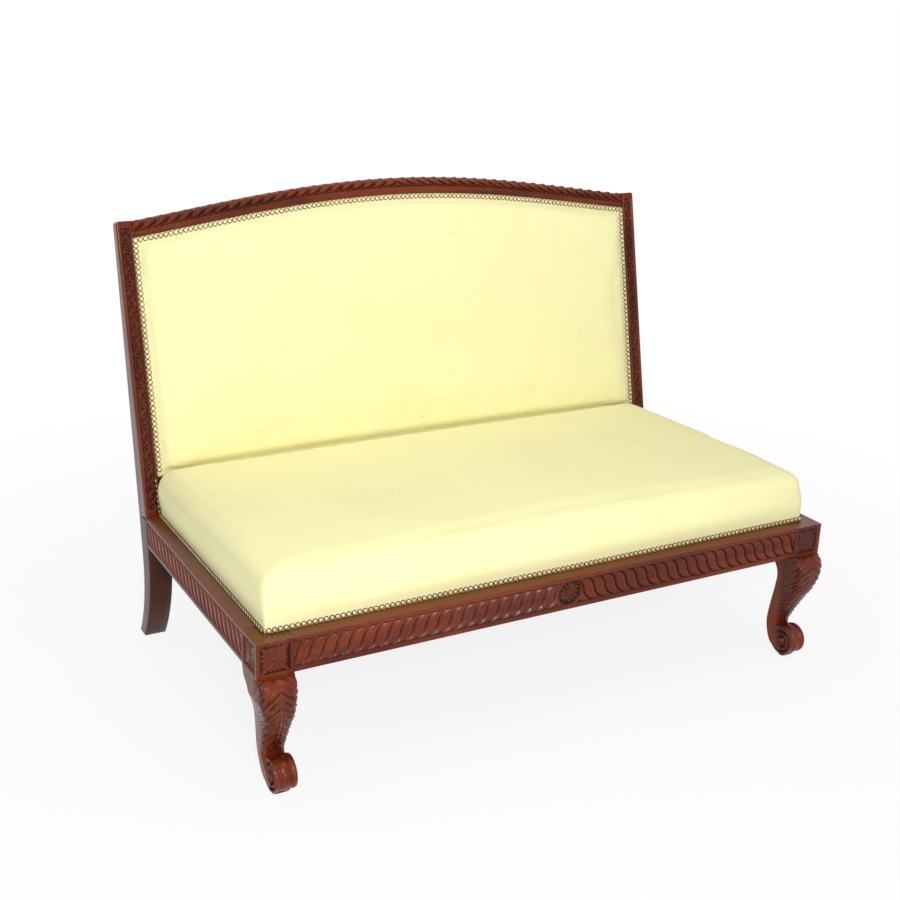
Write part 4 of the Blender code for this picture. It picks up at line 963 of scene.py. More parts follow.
def leaf_height(around, down):
    """Height of the leg's leaf over its ground, from 0 to 1, and where the leaf is.

    A fan of flutes opens upwards from a knot on the vein. Below it, pairs of long lobes hang from the
    vein, each with a raised rim and a lower fold, deep eyes between these, and a cut to the next.
    """
    below = down - LEAF_KNOT - around * (LOBE_FALL + LOBE_BEND * around)
    phase = (below * (1 + LOBE_SHRINK * np.clip(below, 0, None)) / LOBE_PITCH) % 1.0
    edge = np.interp(down, *zip(*LEAF_EDGE)) + LOBE_TIP * np.sin(math.pi * phase)
    inside = np.clip((edge - around) / LEAF_WALL, 0, 1) * np.clip((LEAF_END - down) / LEAF_WALL, 0, 1)
    middle, half, high = LOBE_RIM
    height = LOBE_GROUND + high * peak(phase, middle, half) ** RIM_POWER
    middle, half, high = LOBE_FOLD
    folded = np.clip((around - FOLD_FROM[0]) / FOLD_FROM[1], 0, 1)
    height += high * peak(phase, middle, half) ** RIM_POWER * folded
    height *= 1 - np.maximum(peak(phase, 0.0, LOBE_GAP), peak(phase, 1.0, LOBE_GAP)) ** GAP_POWER
    for out, long, middle, wide in LEAF_EYES:
        eye = 1 - np.hypot((around - out) / long, (phase - middle) / wide)
        height *= 1 - EYE_DEPTH * np.clip(EYE_WALL * eye, 0, 1)
    knot = np.array((FAN_FOOT, LEAF_KNOT))
    for tip in FAN_TIPS:
        flute = hollow_leaf(around, down, fan_stroke(knot, np.array(tip), FAN_HALF), FAN_SLOPE)
        height = np.maximum(height, flute)
    under_knot = np.clip((down - LEAF_KNOT + VEIN_START[0]) / VEIN_START[1], 0, 1)
    height *= 1 - GROOVE_DEPTH * peak(around, GROOVE_OUT, GROOVE_HALF) * under_knot
    height = np.maximum(height, peak(around, VEIN_OUT, VEIN_HALF) ** RIM_POWER * under_knot)
    return height * inside, inside


def leg_section(column, front, rear, outer, inner, rounding):
    """X, and the share of the way from the front line to the rear one, round the leg."""
    middle, half = (outer + inner) / 2, (outer - inner) / 2
    depth = np.maximum(np.hypot(rear[0] - front[0], rear[1] - front[1]), CLOSE)
    round_share = np.minimum(rounding / depth, LEG_ROUND_MOST)
    turn = math.pi * np.clip((column - RING_INNER) / RING_FRONT, 0, 1)
    cosine, sine = np.cos(turn), np.sin(turn)
    arc_x = middle - half * np.sign(cosine) * np.abs(cosine) ** (2 / LEG_ROUND_POWER)
    arc_share = round_share * (1 - np.abs(sine) ** (2 / LEG_ROUND_POWER))
    flat_x = inner + (outer - inner) * (column - RING_INNER) / RING_FRONT
    square = rounding < 2 * EDGE
    arc_x = np.where(square, flat_x, arc_x)
    arc_share = np.where(square, 0.0, arc_share)
    on_inner = column < RING_INNER
    on_outer = (column > RING_INNER + RING_FRONT) & (column <= RING_INNER + RING_FRONT + RING_OUTER)
    on_back = column > RING_INNER + RING_FRONT + RING_OUTER
    inner_share = 1 + (round_share - 1) * column / RING_INNER
    outer_share = round_share + (1 - round_share) * (column - RING_INNER - RING_FRONT) / RING_OUTER
    back_x = outer + (inner - outer) * (column - RING_INNER - RING_FRONT - RING_OUTER) / RING_BACK
    x = np.select([on_inner, on_outer, on_back], [inner, outer, back_x], arc_x)
    share = np.select([on_inner, on_outer, on_back], [inner_share, outer_share, 1.0], arc_share)
    return x, share


def make_front_leg(side, name):
    """Block, cabriole leg and scroll foot cut from one timber, with the block's two panels."""
    around = RING_INNER + RING_FRONT + RING_OUTER + RING_BACK
    block_rows = spaced(LEDGE_Z - BLOCK_START, BLOCK_BOTTOM + EDGE, BLOCK_CELL)
    block_z = np.concatenate([[LEDGE_Z, LEDGE_Z - EDGE], block_rows])
    lines = smooth_line([(*front, *rear) for front, rear in LEG_LINES], LEG_ROWS)
    outer_line = smooth_line(LEG_OUTER_LINE, OUTER_ROWS)
    steps = np.hypot(*np.diff(lines[:, :2], axis=0).T)
    down_rows = np.concatenate([[0.0], np.cumsum(steps)])
    blocks = len(block_z)

    def rows_at(row):
        leg_row = np.clip(row - blocks, 0, LEG_ROWS - 1)
        in_block = row < blocks
        z = block_z[np.minimum(row, blocks - 1)]
        front = (np.where(in_block, 0.0, lines[leg_row, 0]), np.where(in_block, z, lines[leg_row, 1]))
        rear = (np.where(in_block, BLOCK, lines[leg_row, 2]), np.where(in_block, z, lines[leg_row, 3]))
        return in_block, front, rear, np.where(in_block, -1.0, down_rows[leg_row])

    def surface(column, row):
        in_block, front, rear, down = rows_at(row)
        low = np.where(in_block, 0.3, (front[1] + rear[1]) / 2)
        outer = np.where(in_block, HALF_WIDTH, np.interp(low, outer_line[:, 0], outer_line[:, 1]))
        taper_top, taper_over, taper_by = LEG_TAPER
        inner = JOINT_X + GAP + taper_by * np.clip((taper_top - low) / taper_over, 0, 1)
        rounding = LEG_ROUND * np.clip(down / LEG_ROUND_FROM, LEG_ROUND_LEAST, 1)
        rounding = np.where(in_block, 0.0, rounding)
        x, share = leg_section(column, front, rear, outer, inner, rounding)
        y = front[0] + (rear[0] - front[0]) * share
        z = front[1] + (rear[1] - front[1]) * share
        return np.column_stack([x, y, z])

    def place(column, row):
        grid = np.arange(blocks + LEG_ROWS)[:, None] * np.ones(around, int)
        columns = np.ones(len(grid), int)[:, None] * np.arange(around)
        points = surface(columns.ravel(), grid.ravel()).reshape(*grid.shape, 3)
        steps = np.linalg.norm(np.diff(points, axis=1), axis=2)
        along = np.concatenate([np.zeros((len(grid), 1)), np.cumsum(steps, axis=1)], axis=1)
        round_from_vein = np.abs(along - along[:, RING_INNER + RING_FRONT // 2, None])
        ahead = np.roll(points, -1, 1) - np.roll(points, 1, 1)
        under = np.gradient(points, axis=0)
        normal = np.cross(ahead, under)
        normal /= np.maximum(np.linalg.norm(normal, axis=2, keepdims=True), TINY)
        middle = points.mean(axis=1, keepdims=True)
        normal *= np.sign((normal * (points - middle)).sum(axis=2, keepdims=True))
        _, _, _, down = rows_at(grid)
        leg = (grid >= blocks) & (columns < around - RING_BACK)
        height, leaf = leaf_height(round_from_vein, down)
        raise_by = LEAF_RAISE * (height * leaf) - LEAF_SUNK * leaf
        started = np.clip(down / LEAF_START, 0, 1)
        raise_by *= started * leg
        # The leaf's hollows and the panels' ground are darkened by painted shade, with some wax and dirt,
        # deeper as they sink.
        grime_and_shade = np.where(leg & (leaf > 0.5), (1 - height) * started, 0.0)
        x, y, z = points[..., 0], points[..., 1], points[..., 2]
        in_block = grid < blocks
        front_face = in_block & (columns > RING_INNER) & (columns < RING_INNER + RING_FRONT)
        side_face = in_block & (columns > RING_INNER + RING_FRONT + 1)
        side_face &= columns < around - RING_BACK - 1
        for face, across, axis, sign in (
            (front_face, x - (HALF_WIDTH + JOINT_X) / 2, 1, 1),
            (side_face, y - BLOCK / 2, 0, -1),
        ):
            cut = PANEL_DEPTH * (1 - panel_height(across, z - PANEL_Z))
            face &= (z < LEDGE_Z - PANEL_MARGIN) & (z > BLOCK_BOTTOM + PANEL_MARGIN)
            cut = np.where(face, cut, 0.0)
            points[..., axis] += sign * cut
            grime_and_shade = np.maximum(grime_and_shade, cut / PANEL_DEPTH)
        points = points + normal * raise_by[..., None]
        points[..., 0] *= side
        return points[row, column], grime_and_shade[row, column]

    leg = rolled(f"front_leg_{name}_carved", around, blocks + LEG_ROWS - 1, place)
    combine(leg, make_scroll(side), "UNION")
    combine(leg, make_foot_pad(side), "UNION")
    tack = [
        (side * (JOINT_X + GAP), TACK_Y),
        (side * (TACK_X - TACK_CHAMFER), TACK_Y),
        (side * TACK_X, TACK_Y + TACK_CHAMFER),
        (side * TACK_X, BLOCK - GAP),
        (side * (JOINT_X + GAP), BLOCK - GAP),
    ]
    combine(leg, prism(tack, LEDGE_Z - OVERRUN, TACK_Z), "UNION")
    cut_mortise(leg, tenon_box("front_rail", 0, side * JOINT_X, side))
    cut_mortise(leg, side_rail_tenons(name)[0])
    mark_scroll(leg)
    return leg


def mark_scroll(leg):
    """Marks how deep the scroll's grooves are, for the painted shade that darkens them, which its union with
    the leg doesn't carry over.
    """
    for vertex, mark in zip(leg.data.vertices, leg.data.attributes["grime_and_shade"].data):
        x, y, z = vertex.co
        radius = math.hypot(y - FACE_Y - SCROLL_Y, z - SCROLL_Z)
        from_end = SCROLL_HALF - abs(abs(x) - SCROLL_MIDDLE)
        if radius < SCROLL_RADIUS + GAP and from_end > -OVERRUN:
            if radius > SCROLL_RADIUS - RIM_MARKED:
                mark.value = (SCROLL_RADIUS - radius) / RIM_DARKEST
            else:
                mark.value = min(max(from_end / SPIRAL_DEPTH, 0), 1)


def make_foot_pad(side):
    """The small rounded pad that the scroll stands on, drawn in at its foot and under the drum."""
    profile = np.array(FOOT_PAD_PROFILE)

    def place(column, row):
        turn = math.tau * column / FOOT_PAD_SIDES
        z, wide = profile[row].T
        cosine, sine = np.cos(turn), np.sin(turn)
        half_x, half_y = FOOT_PAD_HALF[0] * wide, FOOT_PAD_HALF[1] * wide
        x = SCROLL_MIDDLE + half_x * np.sign(cosine) * np.abs(cosine) ** FOOT_PAD_SQUARE
        y = SCROLL_Y + half_y * np.sign(sine) * np.abs(sine) ** FOOT_PAD_SQUARE
        return np.column_stack([side * x, y, z]), np.zeros(len(x))

    return rolled("foot pad", FOOT_PAD_SIDES, len(profile) - 1, place)


def make_scroll(side):
    """The scroll foot: a drum with a beaded, banded rim and a spiral cut in both of its ends."""
    rings = spaced(SCROLL_CHAMFER, SCROLL_RADIUS - SCROLL_CHAMFER, SCROLL_CELL)
    radii = np.concatenate([[SCROLL_FIRST], rings])
    rim = spaced(-SCROLL_HALF + RIM_EDGE, SCROLL_HALF - RIM_EDGE, RIM_CELL)

    def rim_radius(across):
        edge = SCROLL_HALF - np.abs(across)
        height = RIM_BAND * dome(across / RIM_BAND_HALF)
        for out, half, high in RIM_BEADS:
            height = np.maximum(height, high * dome((edge - out) / half))
        return SCROLL_RADIUS - RIM_BAND + height

    def place(column, row):
        turn = math.tau * column / SCROLL_SIDES
        count = len(radii)
        first = row < count
        last = row >= count + len(rim)
        end_row = np.where(first, row, len(radii) * 2 + len(rim) - 1 - row)
        radius = radii[np.clip(end_row, 0, count - 1)]
        phase = (radius / SPIRAL_PITCH - turn / math.tau) % 1.0
        groove = SPIRAL_DEPTH * (0.5 - 0.5 * np.cos(math.tau * phase)) ** SPIRAL_POWER
        groove *= np.clip((radius - SPIRAL_START) / SPIRAL_FADE, 0, 1)
        groove *= np.clip((SCROLL_RADIUS - SPIRAL_END - radius) / SPIRAL_FADE, 0, 1)
        dish = SCROLL_DISH * (1 - (radius / SCROLL_RADIUS) ** 2)
        eye = SCROLL_EYE_HEIGHT * dome(radius / SCROLL_EYE)
        end_x = SCROLL_HALF + eye - dish - groove
        across = rim[np.clip(row - count, 0, len(rim) - 1)]
        offset = np.select([first, last], [-end_x, end_x], across)
        radius = np.where(first | last, radius, rim_radius(across))
        y = SCROLL_Y + radius * np.cos(turn)
        z = SCROLL_Z + radius * np.sin(turn)
        return np.column_stack([side * (SCROLL_MIDDLE + offset), y, z]), np.zeros(len(y))

    return rolled("scroll", SCROLL_SIDES, 2 * len(radii) + len(rim) - 1, place)


# Upholstery

SEAT_HALF = HALF_WIDTH - SIDE_LEDGE
SEAT_BACK_Y = DEPTH - 0.005
SEAT_EDGE_HEIGHT = 0.1126
SEAT_BACK_DROP = 0.0165
SEAT_FRONT_DROP = 0.0030
SEAT_CROWN = 0.0105
SAG_START = 0.25
SEAT_EDGE_RADIUS = 0.034
SEAT_REAR_RADIUS = 0.012
SEAT_SIDE_BULGE = 0.009
SEAT_CORNER_BULGE = 0.001
SEAT_CELL = 0.011
PAD_TUCK = 0.014
PAD_EDGE_SET = 0.0036
PAD_PROUD = 0.012
PAD_ROLL = 0.034
PAD_CROWN = 0.004
NAIL_RADIUS = 0.0054
NAIL_DOME = 0.0030
NAIL_MARGIN = 0.0004
NAIL_SHADE_FROM = 0.55  # share of a head's radius from which painted shade darkens it out to the rim
NAIL_PITCH = 0.0111
NAIL_ZONE = 2 * (NAIL_RADIUS + NAIL_MARGIN) + 0.0012  # strip of cloth held by the nails
SWELL_CAP = 0.005  # how far the stuffing may push the cloth out of its first shape
SLACK_CAP = 0.0008  # and how far the cloth may sink
CUT_FULL = 0.015  # share by which the cloth is cut larger than the shape it covers
SWELL_FRAMES = 20
SWELL_QUALITY = 6
LEAST_GRIP = 0.02
SEAT_PRESSURE = 2.0
BACK_PRESSURE = 1.5
STUFFING_Z = TACK_Z + 0.0041
SEAT_COVER_INSET = 0.0010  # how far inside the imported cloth's shape the pieces lie
SEAT_STUFFING_INSET = 0.0075
SEAT_STUFFING_CELL = 0.02
BACK_CELL = 0.012
BACK_SPAN = 0.5  # about the pad's height, for its grid
BACK_STUFFING_INSET = 0.012
BACK_STUFFING_BEHIND = CLOTH + 0.0012
BACK_STUFFING_BASE = REBATE - 0.0045
BACK_STUFFING_CELL = 0.03
EDGE_SHARES = np.sin(np.linspace(0, math.pi / 2, 8))  # grid lines over the seat's rounded edges
PAD_EDGE_STEPS = np.array([0, 0.5, 1, 1.15, 1.35, 1.6, 1.9, 2.2])  # in from the pad's edge, in nail strips
WALL_SHARES = (*np.linspace(0.9, 0.1, 9), 0.0, -0.5, -1.0)  # of the way up, below 0 over the nails' strip
CORNER_ROUND = 2.4  # power of the seat's corners at its top edge, and at the rails
CORNER_SQUARE = 8.0
BACK_HELD = 0.9  # share of the rear edge from which the back's pad holds the cloth


def seat_top(x, share):
    """Height of the seat's cloth, from X and the share of the way to the back."""
    across = np.minimum(1.0, np.abs(x) / SEAT_HALF)
    crown = SEAT_CROWN * (1 - across**2) * (1 - (2 * share - 1) ** 4 / 2)
    back_sag = SEAT_BACK_DROP * np.clip(share - SAG_START, 0, None) / (1 - SAG_START)
    front_sag = SEAT_FRONT_DROP * np.clip(1 - share / SAG_START, 0, None)
    return LEDGE_Z + SEAT_EDGE_HEIGHT - back_sag - front_sag + crown


def pad_foot(x):
    """Lower edge of the back's pad up the rake, a little below the seat's top."""
    return (seat_top(x, 1.0) - LEDGE_Z) / math.cos(RAKE) - PAD_TUCK


def edge_grid(low, high, low_radius, high_radius, cell):
    """Grid lines from low to high, close over the rounded edges: places, and shares of the edge."""
    middle = spaced(low + low_radius, high - high_radius, cell)[1:-1]
    first, last = low + low_radius * (1 - EDGE_SHARES[::-1]), high - high_radius * (1 - EDGE_SHARES)
    shares = np.concatenate([-EDGE_SHARES[::-1], np.zeros(len(middle)), EDGE_SHARES])
    return np.concatenate([first, middle, last]), shares


def border_order(rows, columns):
    """The places of a grid's edge, once round."""
    order = [(0, c) for c in range(columns - 1)] + [(r, columns - 1) for r in range(rows - 1)]
    order += [(rows - 1, c) for c in range(columns - 1, 0, -1)]
    return order + [(r, 0) for r in range(rows - 1, 0, -1)]


def seat_shell(inset, base, rear_base, cell):
    """Points, UVs and grips of the seat's top and sides, as (rows, once round) after the top's grid.

    A grip of 1 marks cloth held by nails or stuffing rail, which the swelling leaves in place.
    """
    radius = SEAT_EDGE_RADIUS - inset
    rear_radius = SEAT_REAR_RADIUS - inset
    half = SEAT_HALF - inset
    front = FRONT_LEDGE + inset
    back = SEAT_BACK_Y - inset
    xs, share_x = edge_grid(-half, half, radius, radius, cell)
    ys, share_y = edge_grid(front, back, radius, rear_radius, cell)

    def lean(y, z):
        share = np.clip((y - front) / (back - front), 0, None)
        return y + (z - LEDGE_Z) * math.tan(RAKE) * share**3

    def rounded(x, sx, y, sy, power):
        nearness = np.maximum(np.abs(sx), np.abs(sy))
        both = (sx != 0) & (sy != 0)
        length = (np.abs(sx) ** power + np.abs(sy) ** power) ** (1 / power)
        scale = np.where(both, nearness / np.maximum(length, TINY), 1.0)
        deep = np.where(sy > 0, rear_radius, radius)
        weight = sx**2 + sy**2
        drop = np.where(weight > 0, (radius * sx**2 + deep * sy**2) / np.maximum(weight, TINY), radius)
        return x + radius * (sx * scale - sx), y + deep * (sy * scale - sy), nearness, drop

    def top(x, y):
        return seat_top(x, (y - front) / (back - front)) - inset

    grid_x, grid_y = np.meshgrid(xs, ys)
    grid_sx, grid_sy = np.meshgrid(share_x, share_y)
    x, y, nearness, drop = rounded(grid_x, grid_sx, grid_y, grid_sy, CORNER_ROUND)
    z = top(x, y) - drop * (1 - dome(nearness))
    surface = np.stack([x, lean(y, z), z], axis=2)
    along_x = np.cumsum(np.linalg.norm(np.diff(surface, axis=1, prepend=surface[:, :1]), axis=2), axis=1)
    along_y = np.cumsum(np.linalg.norm(np.diff(surface, axis=0, prepend=surface[:1]), axis=2), axis=0)
    middle_row, middle_column = len(ys) // 2, len(xs) // 2
    uv = np.stack(np.meshgrid(along_x[middle_row], along_y[:, middle_column]), axis=2)
    order = border_order(len(ys), len(xs))
    r, c = np.array(order).T
    sx, sy = share_x[c], share_y[r]
    at_back = sy == 1.0
    foot = np.where(at_back, rear_base, base)
    away = np.stack([sx * (np.abs(sx) == 1), sy * (np.abs(sy) == 1)], axis=1)
    diagonal = (np.abs(sx) > 0) & (np.abs(sy) > 0)
    away[diagonal] = np.stack([sx, sy], axis=1)[diagonal]
    away /= np.maximum(np.linalg.norm(away, axis=1, keepdims=True), TINY)
    walls, wall_uvs, wall_grips = [], [], []
    last = surface[r, c]
    wall_uv = uv[r, c]
    fall = np.zeros(len(r))
    nailed = foot + NAIL_ZONE
    for share in WALL_SHARES:
        above = max(share, 0.0)
        power = CORNER_SQUARE - (CORNER_SQUARE - CORNER_ROUND) * above
        wx, wy, _, wall_drop = rounded(xs[c], sx, ys[r], sy, power)
        wall_top = top(wx, wy) - wall_drop
        wz = nailed + (wall_top - nailed) * above if share >= 0 else nailed + NAIL_ZONE * share
        low = LEDGE_Z + GAP + NAIL_ZONE
        height = np.clip((wz - low) / (wall_top - low), 0, 1)
        deep = (wy - FRONT_LEDGE) / (SEAT_BACK_Y - FRONT_LEDGE)
        along = np.maximum(1 - (wx / SEAT_HALF) ** 4, 1 - (2 * deep - 1) ** 4)
        bulge = SEAT_CORNER_BULGE + (SEAT_SIDE_BULGE - SEAT_CORNER_BULGE) * np.clip(along, 0, 1)
        out = np.where(at_back, 0.0, bulge * np.sin(math.pi * height))
        wx = wx + out * sx
        wy = wy + out * np.minimum(0.0, sy)
        ring = np.stack([wx, lean(wy, wz), wz], axis=1)
        fall = fall + np.linalg.norm(ring - last, axis=1)
        last = ring
        walls.append(ring)
        wall_uvs.append(wall_uv + fall[:, None] * away)
        held = 1.0 if share <= 0.0 else 0.0
        wall_grips.append(np.where(at_back | (sy > BACK_HELD), 1.0, held))
    points = np.vstack([surface.reshape(-1, 3), *walls])
    uvs = np.vstack([uv.reshape(-1, 2), *wall_uvs])
    top_grip = np.where(grid_sy > 0, grid_sy**2, 0.0)
    grips = np.concatenate([top_grip.ravel(), *wall_grips])
    return points, uvs, grips, (len(ys), len(xs)), order, len(walls)


def shell_faces(shape, order, rings):
    """Faces of a shell's top and of the rings that hang from its edge, and its open border."""
    rows, columns = shape
    grid = np.arange(rows * columns).reshape(rows, columns)
    quads = np.stack([grid[:-1, :-1], grid[:-1, 1:], grid[1:, 1:], grid[1:, :-1]], axis=2)
    faces = quads.reshape(-1, 4).tolist()
    above = [int(grid[r, c]) for r, c in order]
    for ring in range(rings):
        start = rows * columns + ring * len(order)
        below = list(range(start, start + len(order)))
        for step in range(len(order)):
            after = (step + 1) % len(order)
            faces.append((above[step], below[step], below[after], above[after]))
        above = below
    return faces, above


def shell_piece(name, shell):
    """A closed mesh from a shell's points, its UV map in metres, and a grip group for the cloth."""
    points, uvs, grips, shape, order, rings = shell
    faces, border = shell_faces(shape, order, rings)
    faces.append(tuple(reversed(border)))
    mesh = bpy.data.meshes.new(name)
    mesh.from_pydata((points + np.array((0, FACE_Y, 0))).tolist(), [], faces)
    flat_map(mesh, mesh.uv_layers.new(name="cloth"), uvs)
    mesh.polygons.foreach_set("use_smooth", [len(face) <= 4 for face in faces])
    piece = bpy.data.objects.new(name, mesh)
    bpy.context.scene.collection.objects.link(piece)
    group = piece.vertex_groups.new(name="grip")
    for index, grip in enumerate(grips):
        if grip > LEAST_GRIP:
            group.add([index], float(grip), "REPLACE")
    return piece


def swell(piece, grips, pressure):
    """Cloth cut a little full and filled with pressure, held at its nails. It moves straight out
    from its first shape, no further than a cap."""
    before = mesh_points(piece.data)
    cloth = piece.modifiers.new("stuffing pressure", "CLOTH")
    cloth.settings.use_pressure = True
    cloth.settings.uniform_pressure_force = pressure
    cloth.settings.vertex_group_mass = "grip"
    cloth.settings.shrink_min = -CUT_FULL
    cloth.settings.effector_weights.gravity = 0
    cloth.settings.quality = SWELL_QUALITY
    cloth.collision_settings.use_collision = False
    scene = bpy.context.scene
    for step in range(1, SWELL_FRAMES + 1):
        scene.frame_set(step)
    graph = bpy.context.evaluated_depsgraph_get()
    after = mesh_points(piece.evaluated_get(graph).to_mesh())
    piece.evaluated_get(graph).to_mesh_clear()
    piece.modifiers.remove(cloth)
    scene.frame_set(1)
    outward = np.array([vertex.normal for vertex in piece.data.vertices])
    out = ((after - before) * outward).sum(axis=1)
    out = SWELL_CAP * np.tanh(np.clip(out, -SLACK_CAP, None) / SWELL_CAP) * (1 - grips)
    piece.data.vertices.foreach_set("co", (before + outward * out[:, None]).ravel())
    piece.data.update()


def thickened(piece, thickness):
    """The open cloth shell given its thickness, inwards."""
    modifier = piece.modifiers.new("thickness", "SOLIDIFY")
    modifier.thickness = thickness
    modifier.offset = -1
    modifier.use_even_offset = False
    activate(piece)
    bpy.ops.object.modifier_apply(modifier=modifier.name)


def cover_piece(name, shell, pressure):
    """A cover filled by its stuffing, opened where that is, and given the cloth's thickness."""
    cover = shell_piece(name, shell)
    swell(cover, shell[2], pressure)
    open_bottom(cover)
    thickened(cover, CLOTH)
    return cover


def make_seat_cover():
    shell = seat_shell(SEAT_COVER_INSET, LEDGE_Z + GAP, STUFFING_Z, SEAT_CELL)
    return cover_piece("seat_cover_cloth", shell, SEAT_PRESSURE)


def open_bottom(piece):
    """Takes away the many-sided face that closed the shell while it was filled."""
    activate(piece)
    for face in piece.data.polygons:
        face.select = len(face.vertices) > 4
    for edge in piece.data.edges:
        edge.select = False
    for vertex in piece.data.vertices:
        vertex.select = False
    bpy.ops.object.mode_set(mode="EDIT")
    bpy.ops.mesh.select_mode(type="FACE")
    bpy.ops.mesh.delete(type="ONLY_FACE")
    bpy.ops.object.mode_set(mode="OBJECT")


def make_seat_stuffing():
    shell = seat_shell(SEAT_STUFFING_INSET, STUFFING_Z, STUFFING_Z, SEAT_STUFFING_CELL)
    return shell_piece("seat_stuffing_hair", shell)


def crest_fillet_foot(x):
    return crest_foot(x) - GAP


def pad_front(x, up):
    """Depth of the back's cloth: flat at its nailed edges, then rolled forward to its crown."""
    half = STILE_FACE_X - GAP
    low = pad_foot(x)
    high = crest_fillet_foot(x)
    inside = np.minimum(half - np.abs(x), np.minimum(up - low, high - up))
    share = np.clip((inside - NAIL_ZONE) / (PAD_ROLL - NAIL_ZONE), 0, 1)
    along = (up - low) / (high - low)
    crown = PAD_CROWN * share * (1 - (x / half) ** 2) * (1 - (2 * along - 1) ** 2)
    return PAD_EDGE_SET - (PAD_PROUD + PAD_EDGE_SET) * np.sin(math.pi / 2 * share) - crown


def pad_shell(inset, set_back, base, cell):
    """The back's padded front and its rim, as a shell like the seat's."""
    half = STILE_FACE_X - GAP - inset
    edge = PAD_EDGE_STEPS * NAIL_ZONE
    xs = np.concatenate([-half + edge, spaced(-half + PAD_ROLL, half - PAD_ROLL, cell), half - edge[::-1]])
    middle = spaced(0, 1, cell / BACK_SPAN)
    low, high = pad_foot(xs) + inset, crest_fillet_foot(xs) - inset
    ups = [low + e for e in edge]
    ups += [low + PAD_ROLL + (high - low - 2 * PAD_ROLL) * share for share in middle]
    ups += [high - e for e in edge[::-1]]
    ups = np.array(ups)
    grid_x = np.ones(len(ups))[:, None] * xs
    behind = pad_front(grid_x, ups) + set_back
    y, z = on_rake(ups, behind)
    surface = np.stack([grid_x, y, z], axis=2)
    uv = np.stack([grid_x, ups], axis=2)
    rows, columns = ups.shape
    order = border_order(rows, columns)
    r, c = np.array(order).T
    rim_y, rim_z = on_rake(ups[r, c], np.full(len(r), base))
    rim = np.stack([xs[c], rim_y, rim_z], axis=1)
    sideways = np.sign(xs[c]) * ((c == 0) | (c == columns - 1))
    away = np.stack([sideways, (r == rows - 1) * 1.0 - (r == 0)], axis=1)
    points = np.vstack([surface.reshape(-1, 3), rim])
    uvs = np.vstack([uv.reshape(-1, 2), uv[r, c] + away * (base - PAD_EDGE_SET)])
    inside = np.minimum(half - np.abs(grid_x), np.minimum(ups - low, high - ups))
    grips = np.where(inside < NAIL_ZONE + GAP / 3, 1.0, 0.0)
    grips = np.concatenate([grips.ravel(), np.ones(len(r))])
    return points, uvs, grips, (rows, columns), order, 1


def make_back_cover():
    return cover_piece("back_cover_cloth", pad_shell(0.0, 0.0, REBATE - GAP, BACK_CELL), BACK_PRESSURE)


def make_back_stuffing():
    shell = pad_shell(BACK_STUFFING_INSET, BACK_STUFFING_BEHIND, BACK_STUFFING_BASE, BACK_STUFFING_CELL)
    return shell_piece("back_stuffing_hair", shell)


# Nails

NAIL_SIDES = 12
NAIL_PROFILE = ((1.0, 0.0), (1.0, 0.22), (0.86, 0.52), (0.60, 0.84), (0.28, 1.0))  # shares of radius, height
NAIL_SPIN = 2.4  # each head is turned from the last, and tilted a little as a hammer leaves it
NAIL_TILT = 0.05
TILT_STEP = 3.7
CORNER_NAIL = 0.25  # share of the seat's edge radius at which the rows end by a corner
TOP_NAIL_PLACES = 60


def make_nail():
    """One round-headed nail: a low dome with a turned-down rim, standing along +Z."""
    deselect()
    bpy.ops.mesh.primitive_circle_add(vertices=NAIL_SIDES, radius=NAIL_RADIUS, fill_type="NGON")
    nail = bpy.context.object
    bpy.ops.object.mode_set(mode="EDIT")
    bpy.ops.mesh.select_all(action="SELECT")
    for (wide, low), (narrow, high) in zip(NAIL_PROFILE[:-1], NAIL_PROFILE[1:]):
        bpy.ops.mesh.extrude_region_move(TRANSFORM_OT_translate={"value": (0, 0, (high - low) * NAIL_DOME)})
        bpy.ops.transform.resize(value=(narrow / wide, narrow / wide, 1))
    face_outwards()
    nail.data.polygons.foreach_set("use_smooth", [True] * len(nail.data.polygons))
    # Marks each head's rim for painted shade.
    rim = nail.data.attributes.new("grime_and_shade", "FLOAT", "POINT")
    for vertex, mark in zip(nail.data.vertices, rim.data):
        share = math.hypot(vertex.co.x, vertex.co.y) / NAIL_RADIUS
        mark.value = min(max((share - NAIL_SHADE_FROM) / (1 - NAIL_SHADE_FROM), 0), 1)
    return nail


def nail_row(name, path, outward):
    """Nails that touch along a path, copied from one and joined. Path points are in the frame."""
    path = np.asarray(path, float)
    ahead = np.asarray(outward, float) / np.linalg.norm(outward)
    beside = np.cross(ahead, (1.0, 0.0, 0.0) if abs(ahead[0]) < 0.9 else (0.0, 0.0, 1.0))
    beside /= np.linalg.norm(beside)
    facing = Matrix(np.column_stack([beside, np.cross(ahead, beside), ahead]).tolist()).to_4x4()
    lengths = np.concatenate([[0.0], np.cumsum(np.linalg.norm(np.diff(path, axis=0), axis=1))])
    count = max(1, round(lengths[-1] / NAIL_PITCH))
    first = make_nail()
    copies = []
    for step in range(count + 1):
        along = lengths[-1] * step / count
        place = [np.interp(along, lengths, path[:, axis]) for axis in range(3)]
        copy = first.copy()
        copy.data = first.data.copy()
        bpy.context.scene.collection.objects.link(copy)
        tilt = Matrix.Rotation(NAIL_TILT * math.sin(TILT_STEP * step), 4, "X")
        spin = Matrix.Rotation(NAIL_SPIN * step, 4, "Z") @ tilt
        copy.data.transform(Matrix.Translation(place) @ facing @ spin)
        copies.append(copy)
    bpy.data.objects.remove(first, do_unlink=True)
    return named(joined(copies), name)


